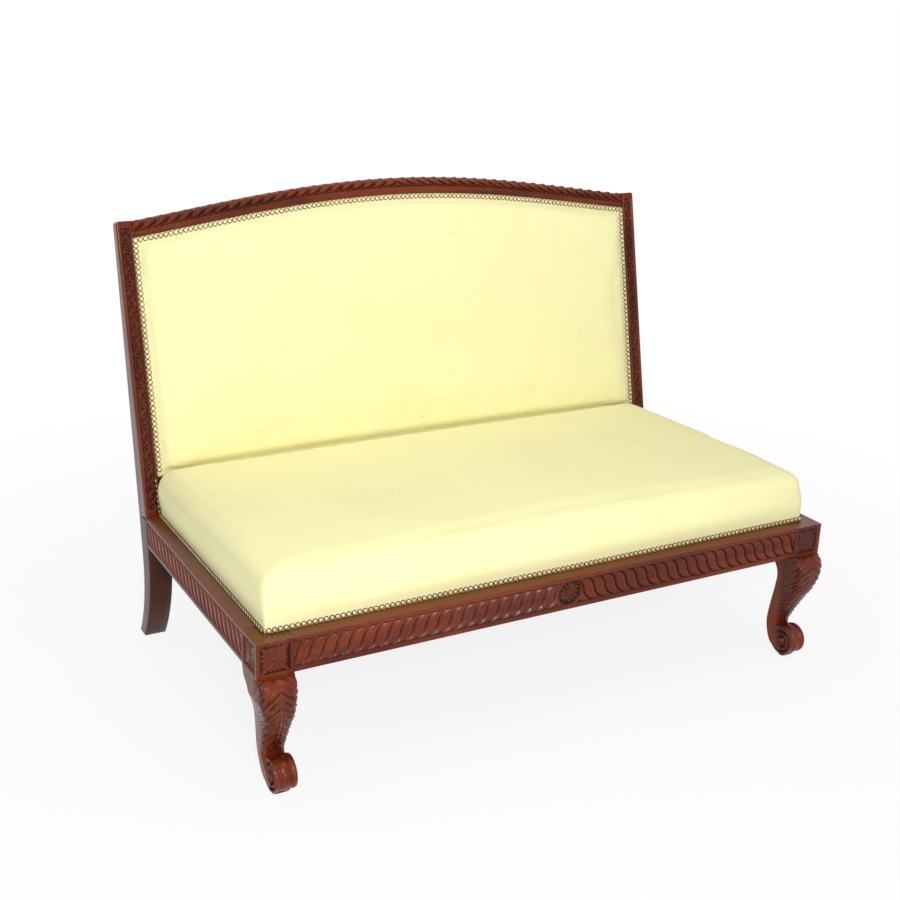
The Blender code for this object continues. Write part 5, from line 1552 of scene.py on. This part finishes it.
def make_nails():
    """The six rows, by their nodes: round the seat, climbing its rear corners, and round the back."""
    rows = {}
    z = LEDGE_Z + GAP + NAIL_MARGIN + NAIL_RADIUS
    end_x = SEAT_HALF - SEAT_EDGE_RADIUS * CORNER_NAIL
    y = FRONT_LEDGE - GAP + FACE_Y
    rows["nails_seat_front"] = nail_row("nails_seat_front_row", [(-end_x, y, z), (end_x, y, z)], (0, -1, 0))
    for side, name in SIDES:
        x = side * (SEAT_HALF + GAP)
        front = FRONT_LEDGE + SEAT_EDGE_RADIUS * CORNER_NAIL + FACE_Y
        rear = SEAT_BACK_Y - NAIL_RADIUS + FACE_Y
        climb = SEAT_EDGE_HEIGHT - SEAT_BACK_DROP - SEAT_REAR_RADIUS - 2 * NAIL_RADIUS
        top = (x + side * SEAT_CORNER_BULGE, rear + climb * math.tan(RAKE), z + climb)
        path = [(x, front, z), (x, rear, z), top]
        rows[f"nails_seat_{name}"] = nail_row(f"nails_seat_{name}_row", path, (side, 0, 0))
    out = (0.0, -math.cos(RAKE), math.sin(RAKE))
    edge_x = STILE_FACE_X - GAP - NAIL_MARGIN - NAIL_RADIUS
    drop = GAP + NAIL_MARGIN + NAIL_RADIUS

    def on_pad(x, up):
        y, z = on_rake(up, PAD_EDGE_SET - GAP)
        return x, y + FACE_Y, z

    for side, name in SIDES:
        x = side * edge_x
        low = pad_foot(x) + PAD_TUCK + NAIL_MARGIN
        high = crest_foot(x) - drop - 2 * NAIL_RADIUS
        path = [on_pad(x, low), on_pad(x, high)]
        rows[f"nails_back_{name}"] = nail_row(f"nails_back_{name}_row", path, out)
    places = np.linspace(-edge_x, edge_x, TOP_NAIL_PLACES)
    path = [on_pad(x, crest_foot(x) - drop) for x in places]
    rows["nails_back_top"] = nail_row("nails_back_top_row", path, out)
    return rows


# Hidden cloth

CLOTH_MARGIN = 0.006  # webbing and hessian inside the edge they are tacked to
WEBBING_WIDTH = 0.050
WEBBING_THICKNESS = 0.0009
WEBBING_WEAVE = 0.0005  # how far a strap rises and dips where it crosses another
WEBBING_CELL = 0.012
HESSIAN_THICKNESS = 0.0012
OUTSIDE_BACK_THICKNESS = 0.0015
OUTSIDE_BACK_MARGIN = 0.012
SEAT_STRAPS = (9, 5)  # from front to back, and from side to side
BACK_STRAPS = (8, 4)  # upright, and across
BACK_PANEL_CELLS = (48, 24)
WEBBING_BEHIND = REBATE - GAP - 0.0010 - WEBBING_THICKNESS / 2
HESSIAN_BEHIND = REBATE - 2 * GAP - 0.0020 - HESSIAN_THICKNESS


def cloth_panel(name, cells, place, thickness):
    """A grid of cloth. place(across, along), each from 0 to 1, gives its points and its flat map."""
    deselect()
    bpy.ops.mesh.primitive_grid_add(x_subdivisions=cells[0], y_subdivisions=cells[1], size=1)
    panel = named(bpy.context.object, name)
    shares = mesh_points(panel.data)[:, :2] + 0.5
    points, cut = place(shares[:, 0], shares[:, 1])
    panel.data.vertices.foreach_set("co", points.ravel())
    flat_map(panel.data, panel.data.uv_layers[0], cut)
    thickened(panel, thickness)
    return panel


def woven_straps(name, xs, ys, reach, place):
    """Straps both ways, each over and under those it crosses, and the area of all their cloth.

    place(x, y, off) takes the flat layout to the frame. reach is half the length of the straps
    across, and the two ends of the others.
    """
    half, (low, high) = reach
    straps = []
    for number, middle in enumerate(xs):

        def upright(across, along, middle=middle, number=number):
            x, y = middle + WEBBING_WIDTH * (across - 0.5), low + (high - low) * along
            off = WEBBING_WEAVE * (-1) ** number * np.cos(math.pi * (y - ys[0]) / (ys[1] - ys[0]))
            return place(x, y, off), np.column_stack([x, y])

        cells = (2, round((high - low) / WEBBING_CELL))
        straps.append(cloth_panel(f"{name} strap", cells, upright, WEBBING_THICKNESS))
    for number, middle in enumerate(ys):

        def level(across, along, middle=middle, number=number):
            x, y = half * (2 * across - 1), middle + WEBBING_WIDTH * (along - 0.5)
            off = -WEBBING_WEAVE * (-1) ** number * np.cos(math.pi * (x - xs[0]) / (xs[1] - xs[0]))
            return place(x, y, off), np.column_stack([x, y])

        cells = (round(2 * half / WEBBING_CELL), 2)
        straps.append(cloth_panel(f"{name} strap", cells, level, WEBBING_THICKNESS))
    return named(joined(straps), name), WEBBING_WIDTH * (len(xs) * (high - low) + len(ys) * 2 * half)


def strap_middles(low, high, count):
    return np.linspace(low + WEBBING_WIDTH / 2, high - WEBBING_WIDTH / 2, count)


def make_seat_webbing():
    low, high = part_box("seat_webbing")
    stile_x = STILE_INNER_X - CLOTH_MARGIN
    rear = TACK_END_Y + FACE_Y - CLOTH_MARGIN
    middle_z = (low.z + high.z) / 2 + WEBBING_THICKNESS / 2

    def place(x, y, off):
        return np.column_stack([x, y, middle_z + off])

    xs = strap_middles(-stile_x, stile_x, SEAT_STRAPS[0])
    ys = strap_middles(low.y, rear, SEAT_STRAPS[1])
    webbing, area = woven_straps("seat_webbing_straps", xs, ys, (high.x, (low.y, high.y)), place)
    return webbing, (high.x - low.x, high.y - low.y), area


def flat_cloth(name, node, outline):
    """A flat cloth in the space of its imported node, from its outline's right half as (x, y) points."""
    low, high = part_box(node)
    outline = outline + [(-x, y) for x, y in reversed(outline)]
    cloth = named(prism(outline, low.z, high.z), name)
    layer = cloth.data.uv_layers.active or cloth.data.uv_layers.new()
    layer.name = "cloth"
    for loop, place in zip(cloth.data.loops, layer.data):
        place.uv = cloth.data.vertices[loop.vertex_index].co.xy
    x, y = np.array(outline).T
    area = abs(np.dot(x, np.roll(y, -1)) - np.dot(y, np.roll(x, -1))) / 2
    return cloth, (high.x - low.x, high.y - low.y), area


def make_seat_hessian():
    low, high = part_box("seat_hessian")
    stile_x = STILE_INNER_X - CLOTH_MARGIN
    notch_y = TACK_END_Y - CLOTH_MARGIN
    half = [(high.x, low.y - FACE_Y), (high.x, notch_y), (stile_x, notch_y), (stile_x, high.y - FACE_Y)]
    return flat_cloth("seat_hessian_cloth", "seat_hessian", half)


def make_dust_cover():
    """Closes the seat from below, notched round the four legs."""
    low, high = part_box("seat_dust_cover")
    leg_x = JOINT_X - GAP
    front, rear = low.y - FACE_Y, high.y - FACE_Y
    half = [(leg_x, front), (leg_x, BLOCK + GAP), (high.x, BLOCK + GAP)]
    half += [(high.x, DEPTH - GAP), (leg_x, DEPTH - GAP), (leg_x, rear)]
    return flat_cloth("seat_dust_cover_cloth", "seat_dust_cover", half)


def back_span(x):
    """The two ends, up the rake, of the webbing and hessian of the back."""
    return pad_foot(x) + CLOTH_MARGIN, crest_foot(x) - CLOTH_MARGIN


def back_point(x, share, behind):
    """A point of the back's hidden cloth, its share of the way up and its depth behind the face."""
    low, high = back_span(x)
    y, z = on_rake(low + (high - low) * share, behind)
    return np.column_stack([x, y + FACE_Y, z])


def make_back_webbing():
    half = STILE_FACE_X - CLOTH_MARGIN
    low, high = back_span(0.0)
    height = high - low

    def place(x, y, off):
        return back_point(x, y / height, WEBBING_BEHIND - off)

    xs = strap_middles(-half, half, BACK_STRAPS[0])
    ys = strap_middles(0.0, height, BACK_STRAPS[1])
    webbing, area = woven_straps("back_webbing_straps", xs, ys, (half, (0.0, height)), place)
    return webbing, (2 * half, height), area


def make_back_hessian():
    half = STILE_FACE_X - CLOTH_MARGIN
    low, high = back_span(0.0)

    def place(across, along):
        x = half * (2 * across - 1)
        return back_point(x, along, HESSIAN_BEHIND), np.column_stack([x, (high - low) * along])

    hessian = cloth_panel("back_hessian_cloth", BACK_PANEL_CELLS, place, HESSIAN_THICKNESS)
    return hessian, (2 * half, high - low), None


def make_outside_back():
    """Closes the back from behind, on the rear faces of the stiles and the crest."""
    half = HALF_WIDTH - STILE_TOP_TAPER - OUTSIDE_BACK_MARGIN
    height = CREST_TOP - 2 * OUTSIDE_BACK_MARGIN

    def place(across, along):
        x = half * (2 * across - 1)
        up = OUTSIDE_BACK_MARGIN + (crest_top(x) - 2 * OUTSIDE_BACK_MARGIN) * along
        y, z = on_rake(up, rear_depth(up) + GAP)
        return np.column_stack([x, y + FACE_Y, z]), np.column_stack([x, up])

    panel = cloth_panel("outside_back_cover_cloth", BACK_PANEL_CELLS, place, OUTSIDE_BACK_THICKNESS)
    shares = np.linspace(-1, 1, 201)
    area = (crest_top(half * shares) - 2 * OUTSIDE_BACK_MARGIN).mean() * 2 * half
    return panel, (2 * half, height), area


# Finishes

GRAINS = {"x": (0.06, 1.0, 1.0), "y": (1.0, 0.06, 1.0), "z": (1.0, 1.0, 0.06)}  # patterns drawn out along it
EASED = {"interpolation_type": "SMOOTHSTEP"}
COLOURS = {"data_type": "RGBA"}

# Scales of the patterns: one over the size in metres of what they show
FIGURE = 26.0  # mahogany's bands, 38 mm wide
PORE = 420.0  # its pores, 2.4 mm apart, drawn wider than real ones so that they show
BLOOM = 9.0  # rubbed and clouded patches of its polish, 110 mm
BEECH_FIGURE = 60.0  # 17 mm
BEECH_FLECK = 500.0  # 2 mm
SLUB = 380.0  # thick places in a thread, 2.6 mm
MOTTLE = 6.0  # patches of deeper cloth, 170 mm
SPECK = 70.0  # 14 mm apart
TARNISH = 140.0  # 7 mm, about one to a nail head
STRAND = 220.0  # matted hair, 4.5 mm

POLISH = (0.20, 0.28)  # mahogany's roughness, from its glossiest patches to its dullest
HOLLOW_DULL = 0.12  # how much rougher it is in a hollow
POLISH_SHINE = 0.24  # old wax, duller than fresh varnish
LEDGE_PAINTED_REFLECTION = 0.75  # how far a painted reflection of the cloth and painted light from above turn the rails' flat tops to a dull brown
LEDGE_LEVEL = (0.985, 0.998)  # how nearly upright a face's normal is, to count as flat
WOOD_BUMP = {"Strength": 0.12, "Distance": 0.0004}
BEECH_BUMP = {"Strength": 0.25, "Distance": 0.0004}
HAIR_BUMP = {"Strength": 0.8, "Distance": 0.002}
SLUB_SHARE = 0.6  # height of a slub, of a thread's


def linear(colour):
    """A written #RRGGBB colour as linear light."""
    parts = [int(colour[place : place + 2], 16) / 255 for place in (1, 3, 5)]
    return (*(p / 12.92 if p <= 0.04045 else ((p + 0.055) / 1.055) ** 2.4 for p in parts), 1.0)


def add_node(tree, kind, settings=None, inputs=None):
    """A node with its settings, and each input set to a value or linked from a socket."""
    made = tree.nodes.new("ShaderNode" + kind)
    for name, value in (settings or {}).items():
        setattr(made, name, value)
    set_inputs(tree, made, inputs or {})
    return made


def new_material(name):
    material = bpy.data.materials.new(name)
    material.use_nodes = True
    tree = material.node_tree
    return material, tree, tree.nodes["Principled BSDF"]


def set_inputs(tree, node, values):
    for name, value in values.items():
        if isinstance(value, bpy.types.NodeSocket):
            tree.links.new(value, node.inputs[name])
        else:
            node.inputs[name].default_value = value


def stained(tree, colour, stain, share, pattern, low, high):
    """A colour turned towards a stain, by up to a share, as a pattern goes from low to high."""
    inputs = {"Value": pattern, "From Min": low, "From Max": high, "To Max": share}
    there = add_node(tree, "MapRange", EASED, inputs).outputs[0]
    return add_node(tree, "Mix", COLOURS, {0: there, 6: colour, 7: linear(stain)}).outputs[2]


def wood_places(tree, grain):
    """Object coordinates, and the same drawn out along the grain."""
    place = add_node(tree, "TexCoord").outputs["Object"]
    return place, add_node(tree, "Mapping", {}, {"Vector": place, "Scale": GRAINS[grain]}).outputs[0]


def make_mahogany(name, grain):
    """Old polished mahogany: deep red-brown with long dark pores, darkened in the carved hollows by painted
    shade with some wax and dirt, and turned to a dull brown on the rails' flat tops by a painted reflection
    of the yellow cloth and painted light from above."""
    material, tree, shader = new_material(name)
    place, along = wood_places(tree, grain)
    figure, pores, bloom = (
        add_node(tree, "TexNoise", {}, inputs).outputs[0]
        for inputs in (
            {"Vector": along, "Scale": FIGURE, "Detail": 4.0, "Distortion": 0.6},
            {"Vector": along, "Scale": PORE, "Detail": 3.0, "Roughness": 0.7},
            {"Vector": place, "Scale": BLOOM, "Detail": 3.0},
        )
    )
    grime_and_shade = add_node(tree, "Attribute", {"attribute_name": "grime_and_shade"}).outputs["Fac"]
    colour = stained(tree, linear("#541907"), "#7A2F0F", 1.0, figure, 0.35, 0.68)
    colour = stained(tree, colour, "#2C0C05", 0.5, pores, 0.52, 0.72)
    colour = stained(tree, colour, "#7E3A18", 0.4, bloom, 0.45, 0.75)
    # Painted shade, with some wax and dirt, in the carved hollows; painted shade on the plain rear legs and
    # the stile strip's ground.
    colour = stained(tree, colour, "#180603", 0.88, grime_and_shade, 0.35, 1.0)
    normal = add_node(tree, "NewGeometry").outputs["True Normal"]
    upright = add_node(tree, "SeparateXYZ", {}, {"Vector": normal}).outputs["Z"]
    low, high = LEDGE_LEVEL
    level = {"Value": upright, "From Min": low, "From Max": high, "To Max": LEDGE_PAINTED_REFLECTION}
    level = add_node(tree, "MapRange", EASED, level).outputs[0]
    height = add_node(tree, "SeparateXYZ", {}, {"Vector": place}).outputs["Z"]
    # Painted reflection of the yellow cloth and painted light from above, on the rails' flat tops.
    colour = stained(tree, colour, "#6E4520", level, height, LEDGE_Z - 0.004, LEDGE_Z - 0.001)
    dull = {"Value": bloom, "From Min": 0.3, "From Max": 0.7, "To Min": POLISH[0], "To Max": POLISH[1]}
    dull = add_node(tree, "MapRange", EASED, dull).outputs[0]
    dull = add_node(tree, "Math", {"operation": "MULTIPLY_ADD"}, {0: grime_and_shade, 1: HOLLOW_DULL, 2: dull})
    bump = add_node(tree, "Bump", {}, {"Height": pores, **WOOD_BUMP})
    values = {"Base Color": colour, "Roughness": dull.outputs[0], "Normal": bump.outputs[0]}
    set_inputs(tree, shader, {**values, "Specular IOR Level": POLISH_SHINE})
    return material


def make_plain_wood(name, grain):
    """Beech of the hidden frame: pale, sawn and unpolished, with short brown flecks along the grain."""
    material, tree, shader = new_material(name)
    _, along = wood_places(tree, grain)
    figure, fleck = (
        add_node(tree, "TexNoise", {}, {"Vector": along, "Scale": scale, "Detail": detail}).outputs[0]
        for scale, detail in ((BEECH_FIGURE, 4.0), (BEECH_FLECK, 2.0))
    )
    colour = stained(tree, linear("#A67C52"), "#C39A6B", 1.0, figure, 0.35, 0.65)
    colour = stained(tree, colour, "#7A5230", 0.5, fleck, 0.58, 0.70)
    bump = add_node(tree, "Bump", {}, {"Height": fleck, **BEECH_BUMP}).outputs[0]
    set_inputs(tree, shader, {"Base Color": colour, "Roughness": 0.7, "Normal": bump})
    return material


def make_cloth(name, pale, deep, shade, thread, bump_depth):
    """Plain-woven cloth: two sets of threads over and under each other, matt, faintly mottled, and
    darker in the gaps between the threads.

    Threads are drawn coarser than the real ones, so that they show.
    """
    material, tree, shader = new_material(name)
    uv = add_node(tree, "UVMap", {"uv_map": "cloth"}).outputs[0]
    parts = add_node(tree, "SeparateXYZ", {}, {"Vector": uv})
    place = add_node(tree, "TexCoord").outputs["Object"]
    waves = {}
    for number, axis in enumerate(("X", "Y")):
        turn = {0: parts.outputs[axis], 1: math.pi / thread}
        turn = add_node(tree, "Math", {"operation": "MULTIPLY"}, turn).outputs[0]
        waves[number] = add_node(tree, "Math", {"operation": "SINE"}, {0: turn}).outputs[0]
    weave = add_node(tree, "Math", {"operation": "MULTIPLY"}, waves).outputs[0]
    slub, mottle, speck = (
        add_node(tree, "TexNoise", {}, {"Vector": vector, "Scale": scale, "Detail": detail}).outputs[0]
        for vector, scale, detail in ((uv, SLUB, 2.0), (place, MOTTLE, 4.0), (place, SPECK, 1.0))
    )
    colour = stained(tree, linear(pale), deep, 0.5, mottle, 0.45, 0.80)
    colour = stained(tree, colour, shade, 0.20, speck, 0.76, 0.82)
    colour = stained(tree, colour, shade, 0.05, weave, 0.0, -1.0)
    height = add_node(tree, "Math", {"operation": "MULTIPLY_ADD"}, {0: slub, 1: SLUB_SHARE, 2: weave})
    bump = {"Height": height.outputs[0], "Strength": 0.3, "Distance": bump_depth}
    bump = add_node(tree, "Bump", {}, bump).outputs[0]
    values = {"Base Color": colour, "Roughness": 0.9, "Normal": bump}
    set_inputs(tree, shader, {**values, "Sheen Weight": 0.15, "Sheen Roughness": 0.5})
    return material


def make_brass(name):
    """Antiqued brass nail heads: rubbed pale and bright on the crown, and darkened at the rims by painted
    shade.
    """
    material, tree, shader = new_material(name)
    place = add_node(tree, "TexCoord").outputs["Object"]
    tarnish = add_node(tree, "TexNoise", {}, {"Vector": place, "Scale": TARNISH, "Detail": 3.0}).outputs[0]
    rim = add_node(tree, "Attribute", {"attribute_name": "grime_and_shade"}).outputs["Fac"]
    colour = stained(tree, linear("#D6C08A"), "#F0E6C4", 1.0, tarnish, 0.35, 0.70)
    # Painted shade round each head's rim.
    colour = stained(tree, colour, "#54401E", 1.0, rim, 0.05, 0.75)
    rough = {"Value": tarnish, "From Min": 0.3, "From Max": 0.7, "To Min": 0.48, "To Max": 0.34}
    rough = add_node(tree, "MapRange", EASED, rough).outputs[0]
    set_inputs(tree, shader, {"Base Color": colour, "Metallic": 0.6, "Roughness": rough})
    return material


def make_hair(name):
    """Hair stuffing under the cloth: matted pale fibres."""
    material, tree, shader = new_material(name)
    place = add_node(tree, "TexCoord").outputs["Object"]
    strands = {"Vector": place, "Scale": STRAND, "Detail": 5.0, "Distortion": 3.0}
    strands = add_node(tree, "TexNoise", {}, strands).outputs[0]
    mixed = {0: strands, 6: linear("#8E8270"), 7: linear("#D8CFBC")}
    colour = add_node(tree, "Mix", COLOURS, mixed).outputs[2]
    bump = add_node(tree, "Bump", {}, {"Height": strands, **HAIR_BUMP}).outputs[0]
    set_inputs(tree, shader, {"Base Color": colour, "Roughness": 1.0, "Normal": bump})
    return material


def dress(piece, material, slot=None, *nodes):
    """Gives a new piece its material and body, and hides the nodes it stands for. Its slot is not used."""
    piece.data.materials.clear()
    piece.data.materials.append(material)
    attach(piece, "root")
    if nodes:
        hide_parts(*nodes)
    return piece


# Whole settee


def make_settee():
    woods = {grain: make_mahogany(f"polished mahogany {grain}", grain) for grain in GRAINS}
    beech = {grain: make_plain_wood(f"sawn beech {grain}", grain) for grain in GRAINS}
    cloth = make_cloth("pale cotton", "#FBF6BA", "#F6EAAE", "#8C7A48", 0.0011, 0.0003)
    brass = make_brass("antique brass")
    hair = make_hair("hair stuffing")
    dress(make_front_rail(), woods["x"], "mahogany", "front_rail")
    dress(make_crest_rail(), woods["x"], "mahogany", "crest_rail")
    for side, name in SIDES:
        dress(make_side_rail(side, name), woods["y"], "mahogany", f"side_rail_{name}")
        dress(make_rear_leg(side, name), woods["z"], "mahogany", f"rear_leg_{name}")
        dress(make_front_leg(side, name), woods["z"], "mahogany", f"front_leg_{name}")
    for node in ("back_rail", "lower_back_rail"):
        set_material(node, beech["x"])
    set_material("back_upright", beech["z"])
    set_material("seat_cross_rail", beech["y"])
    for end in ("front", "rear"):
        for _, name in SIDES:
            set_material(f"corner_brace_{end}_{name}", beech["x"])
    dress(make_seat_cover(), cloth, "pale_cloth", "seat_cover")
    dress(make_seat_stuffing(), hair, "stuffing", "seat_stuffing")
    dress(make_back_cover(), cloth, "pale_cloth", "back_cover")
    dress(make_back_stuffing(), hair, "stuffing", "back_stuffing")
    for node, row in make_nails().items():
        dress(row, brass, "nail_brass", node)
    webbing = make_cloth("jute webbing", "#B89B6A", "#9E8050", "#5E4826", 0.0016, 0.0004)
    hessian = make_cloth("hessian", "#B08D57", "#957345", "#4A361C", 0.0020, 0.0004)
    lining = make_cloth("black dust cloth", "#24211E", "#1A1816", "#0C0B0A", 0.0009, 0.0002)
    seat_frame = ["front_rail_carved", "side_rail_left_carved", "side_rail_right_carved", "back_rail"]
    back_frame = ["rear_leg_left_carved", "rear_leg_right_carved", "crest_rail_carved", "lower_back_rail"]
    for node, sheet, material, slot, rests in (
        ("seat_webbing", make_seat_webbing(), webbing, "webbing", seat_frame),
        ("seat_hessian", make_seat_hessian(), hessian, "hessian", ["seat_webbing_straps"]),
        ("seat_dust_cover", make_dust_cover(), lining, "dust_cloth", seat_frame),
        ("back_webbing", make_back_webbing(), webbing, "webbing", back_frame),
        ("back_hessian", make_back_hessian(), hessian, "hessian", ["back_webbing_straps"]),
        ("outside_back_cover", make_outside_back(), cloth, "pale_cloth", back_frame),
    ):
        piece, flat, area = sheet
        dress(piece, material, slot, node)
        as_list(rests)


def set_material(node, material):
    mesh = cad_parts[node].data
    mesh.materials.clear()
    mesh.materials.append(material)


# Floor, light and camera

CAMERA_PLACE = (-1.3983, -2.35553, 1.41728)
CAMERA_LENS = 53.40
CAMERA_SENSOR = 36
CAMERA_TURN = math.radians(-29.53)
CAMERA_LIFT = math.radians(19.39)
CAMERA_ROLL = 0.0322
FLOOR_SIZE = 40
FADE_FROM, FADE_TO = 0.6, 2.2  # how far out the floor's shadow fades into plain white
FADE_LEAST = 0.86
SOFT_LIGHT = 0.43
LAMPS = (  # place, aim, width and height, and watts
    ("key", (-1.30, -2.40, 1.75), (0, 0.1, 0.45), (0.36, 0.30), 37),
    ("overhead", (-0.2, -0.5, 3.0), (0, 0.2, 0.4), (2.4, 2.0), 21),
    ("fill", (-0.5, -2.8, 0.45), (0, 0, 0.35), (1.6, 0.8), 10),
)


def make_camera():
    level = math.cos(CAMERA_LIFT)
    back = (math.sin(CAMERA_TURN) * level, -math.cos(CAMERA_TURN) * level, math.sin(CAMERA_LIFT))
    right = np.cross((0, 0, 1), back)
    right /= np.linalg.norm(right)
    up = np.cross(back, right)
    turned = right * math.cos(CAMERA_ROLL) + up * math.sin(CAMERA_ROLL)
    up = up * math.cos(CAMERA_ROLL) - right * math.sin(CAMERA_ROLL)
    data = bpy.data.cameras.new("camera")
    data.lens = CAMERA_LENS
    data.sensor_width = CAMERA_SENSOR
    camera = bpy.data.objects.new("camera", data)
    bpy.context.scene.collection.objects.link(camera)
    axes = np.column_stack([turned, up, back])
    rows = [[*axis, place] for axis, place in zip(axes, CAMERA_PLACE)]
    camera.matrix_world = Matrix([*rows, [0, 0, 0, 1]])
    bpy.context.scene.camera = camera


def seen_rays(tree):
    """1 for what the camera sees, straight or in a reflection, and 0 for light that falls on things."""
    rays = add_node(tree, "LightPath")
    seen = rays.outputs["Is Camera Ray"]
    for ray in ("Is Glossy Ray", "Is Transmission Ray"):
        seen = add_node(tree, "Math", {"operation": "MAXIMUM"}, {0: seen, 1: rays.outputs[ray]}).outputs[0]
    return seen


def make_floor():
    """White floor. It shows the settee's soft shadow near by, and fades to plain white farther off."""
    deselect()
    bpy.ops.mesh.primitive_plane_add(size=FLOOR_SIZE, location=(0, 0, 0))
    floor = bpy.context.object
    floor.name = "floor"
    material, tree, shader = new_material("white floor")
    set_inputs(tree, shader, {"Base Color": linear("#F4F4F4"), "Roughness": 0.9})
    white = add_node(tree, "Emission", {}, {"Color": (1, 1, 1, 1), "Strength": 1.0}).outputs[0]
    place = add_node(tree, "TexCoord").outputs["Object"]
    away = add_node(tree, "VectorMath", {"operation": "LENGTH"}, {0: place}).outputs["Value"]
    fading = {"Value": away, "From Min": FADE_FROM, "From Max": FADE_TO, "To Min": FADE_LEAST}
    fading = add_node(tree, "MapRange", EASED, fading).outputs[0]
    share = add_node(tree, "Math", {"operation": "MULTIPLY"}, {0: seen_rays(tree), 1: fading}).outputs[0]
    mix = add_node(tree, "MixShader", {}, {0: share, 1: shader.outputs[0], 2: white}).outputs[0]
    tree.links.new(mix, tree.nodes["Material Output"].inputs["Surface"])
    floor.data.materials.append(material)


def make_world():
    world = bpy.data.worlds.new("studio")
    bpy.context.scene.world = world
    world.use_nodes = True
    tree = world.node_tree
    tree.nodes.clear()
    soft, white = (
        add_node(tree, "Background", {}, {"Color": (1, 1, 1, 1), "Strength": strength}).outputs[0]
        for strength in (SOFT_LIGHT, 1.0)
    )
    mix = add_node(tree, "MixShader", {}, {0: seen_rays(tree), 1: soft, 2: white}).outputs[0]
    add_node(tree, "OutputWorld", {}, {"Surface": mix})


def make_lamp(name, place, aim, size, power):
    data = bpy.data.lights.new(name, "AREA")
    data.shape = "RECTANGLE"
    data.size, data.size_y = size
    data.energy = power
    lamp = bpy.data.objects.new(name, data)
    bpy.context.scene.collection.objects.link(lamp)
    lamp.location = place
    lamp.rotation_mode = "QUATERNION"
    lamp.rotation_quaternion = (Vector(aim) - Vector(place)).to_track_quat("-Z", "Y")


def make_studio():
    make_camera()
    make_floor()
    make_world()
    for lamp in LAMPS:
        make_lamp(*lamp)
    bpy.context.scene.view_settings.view_transform = "Standard"


make_settee()
make_studio()
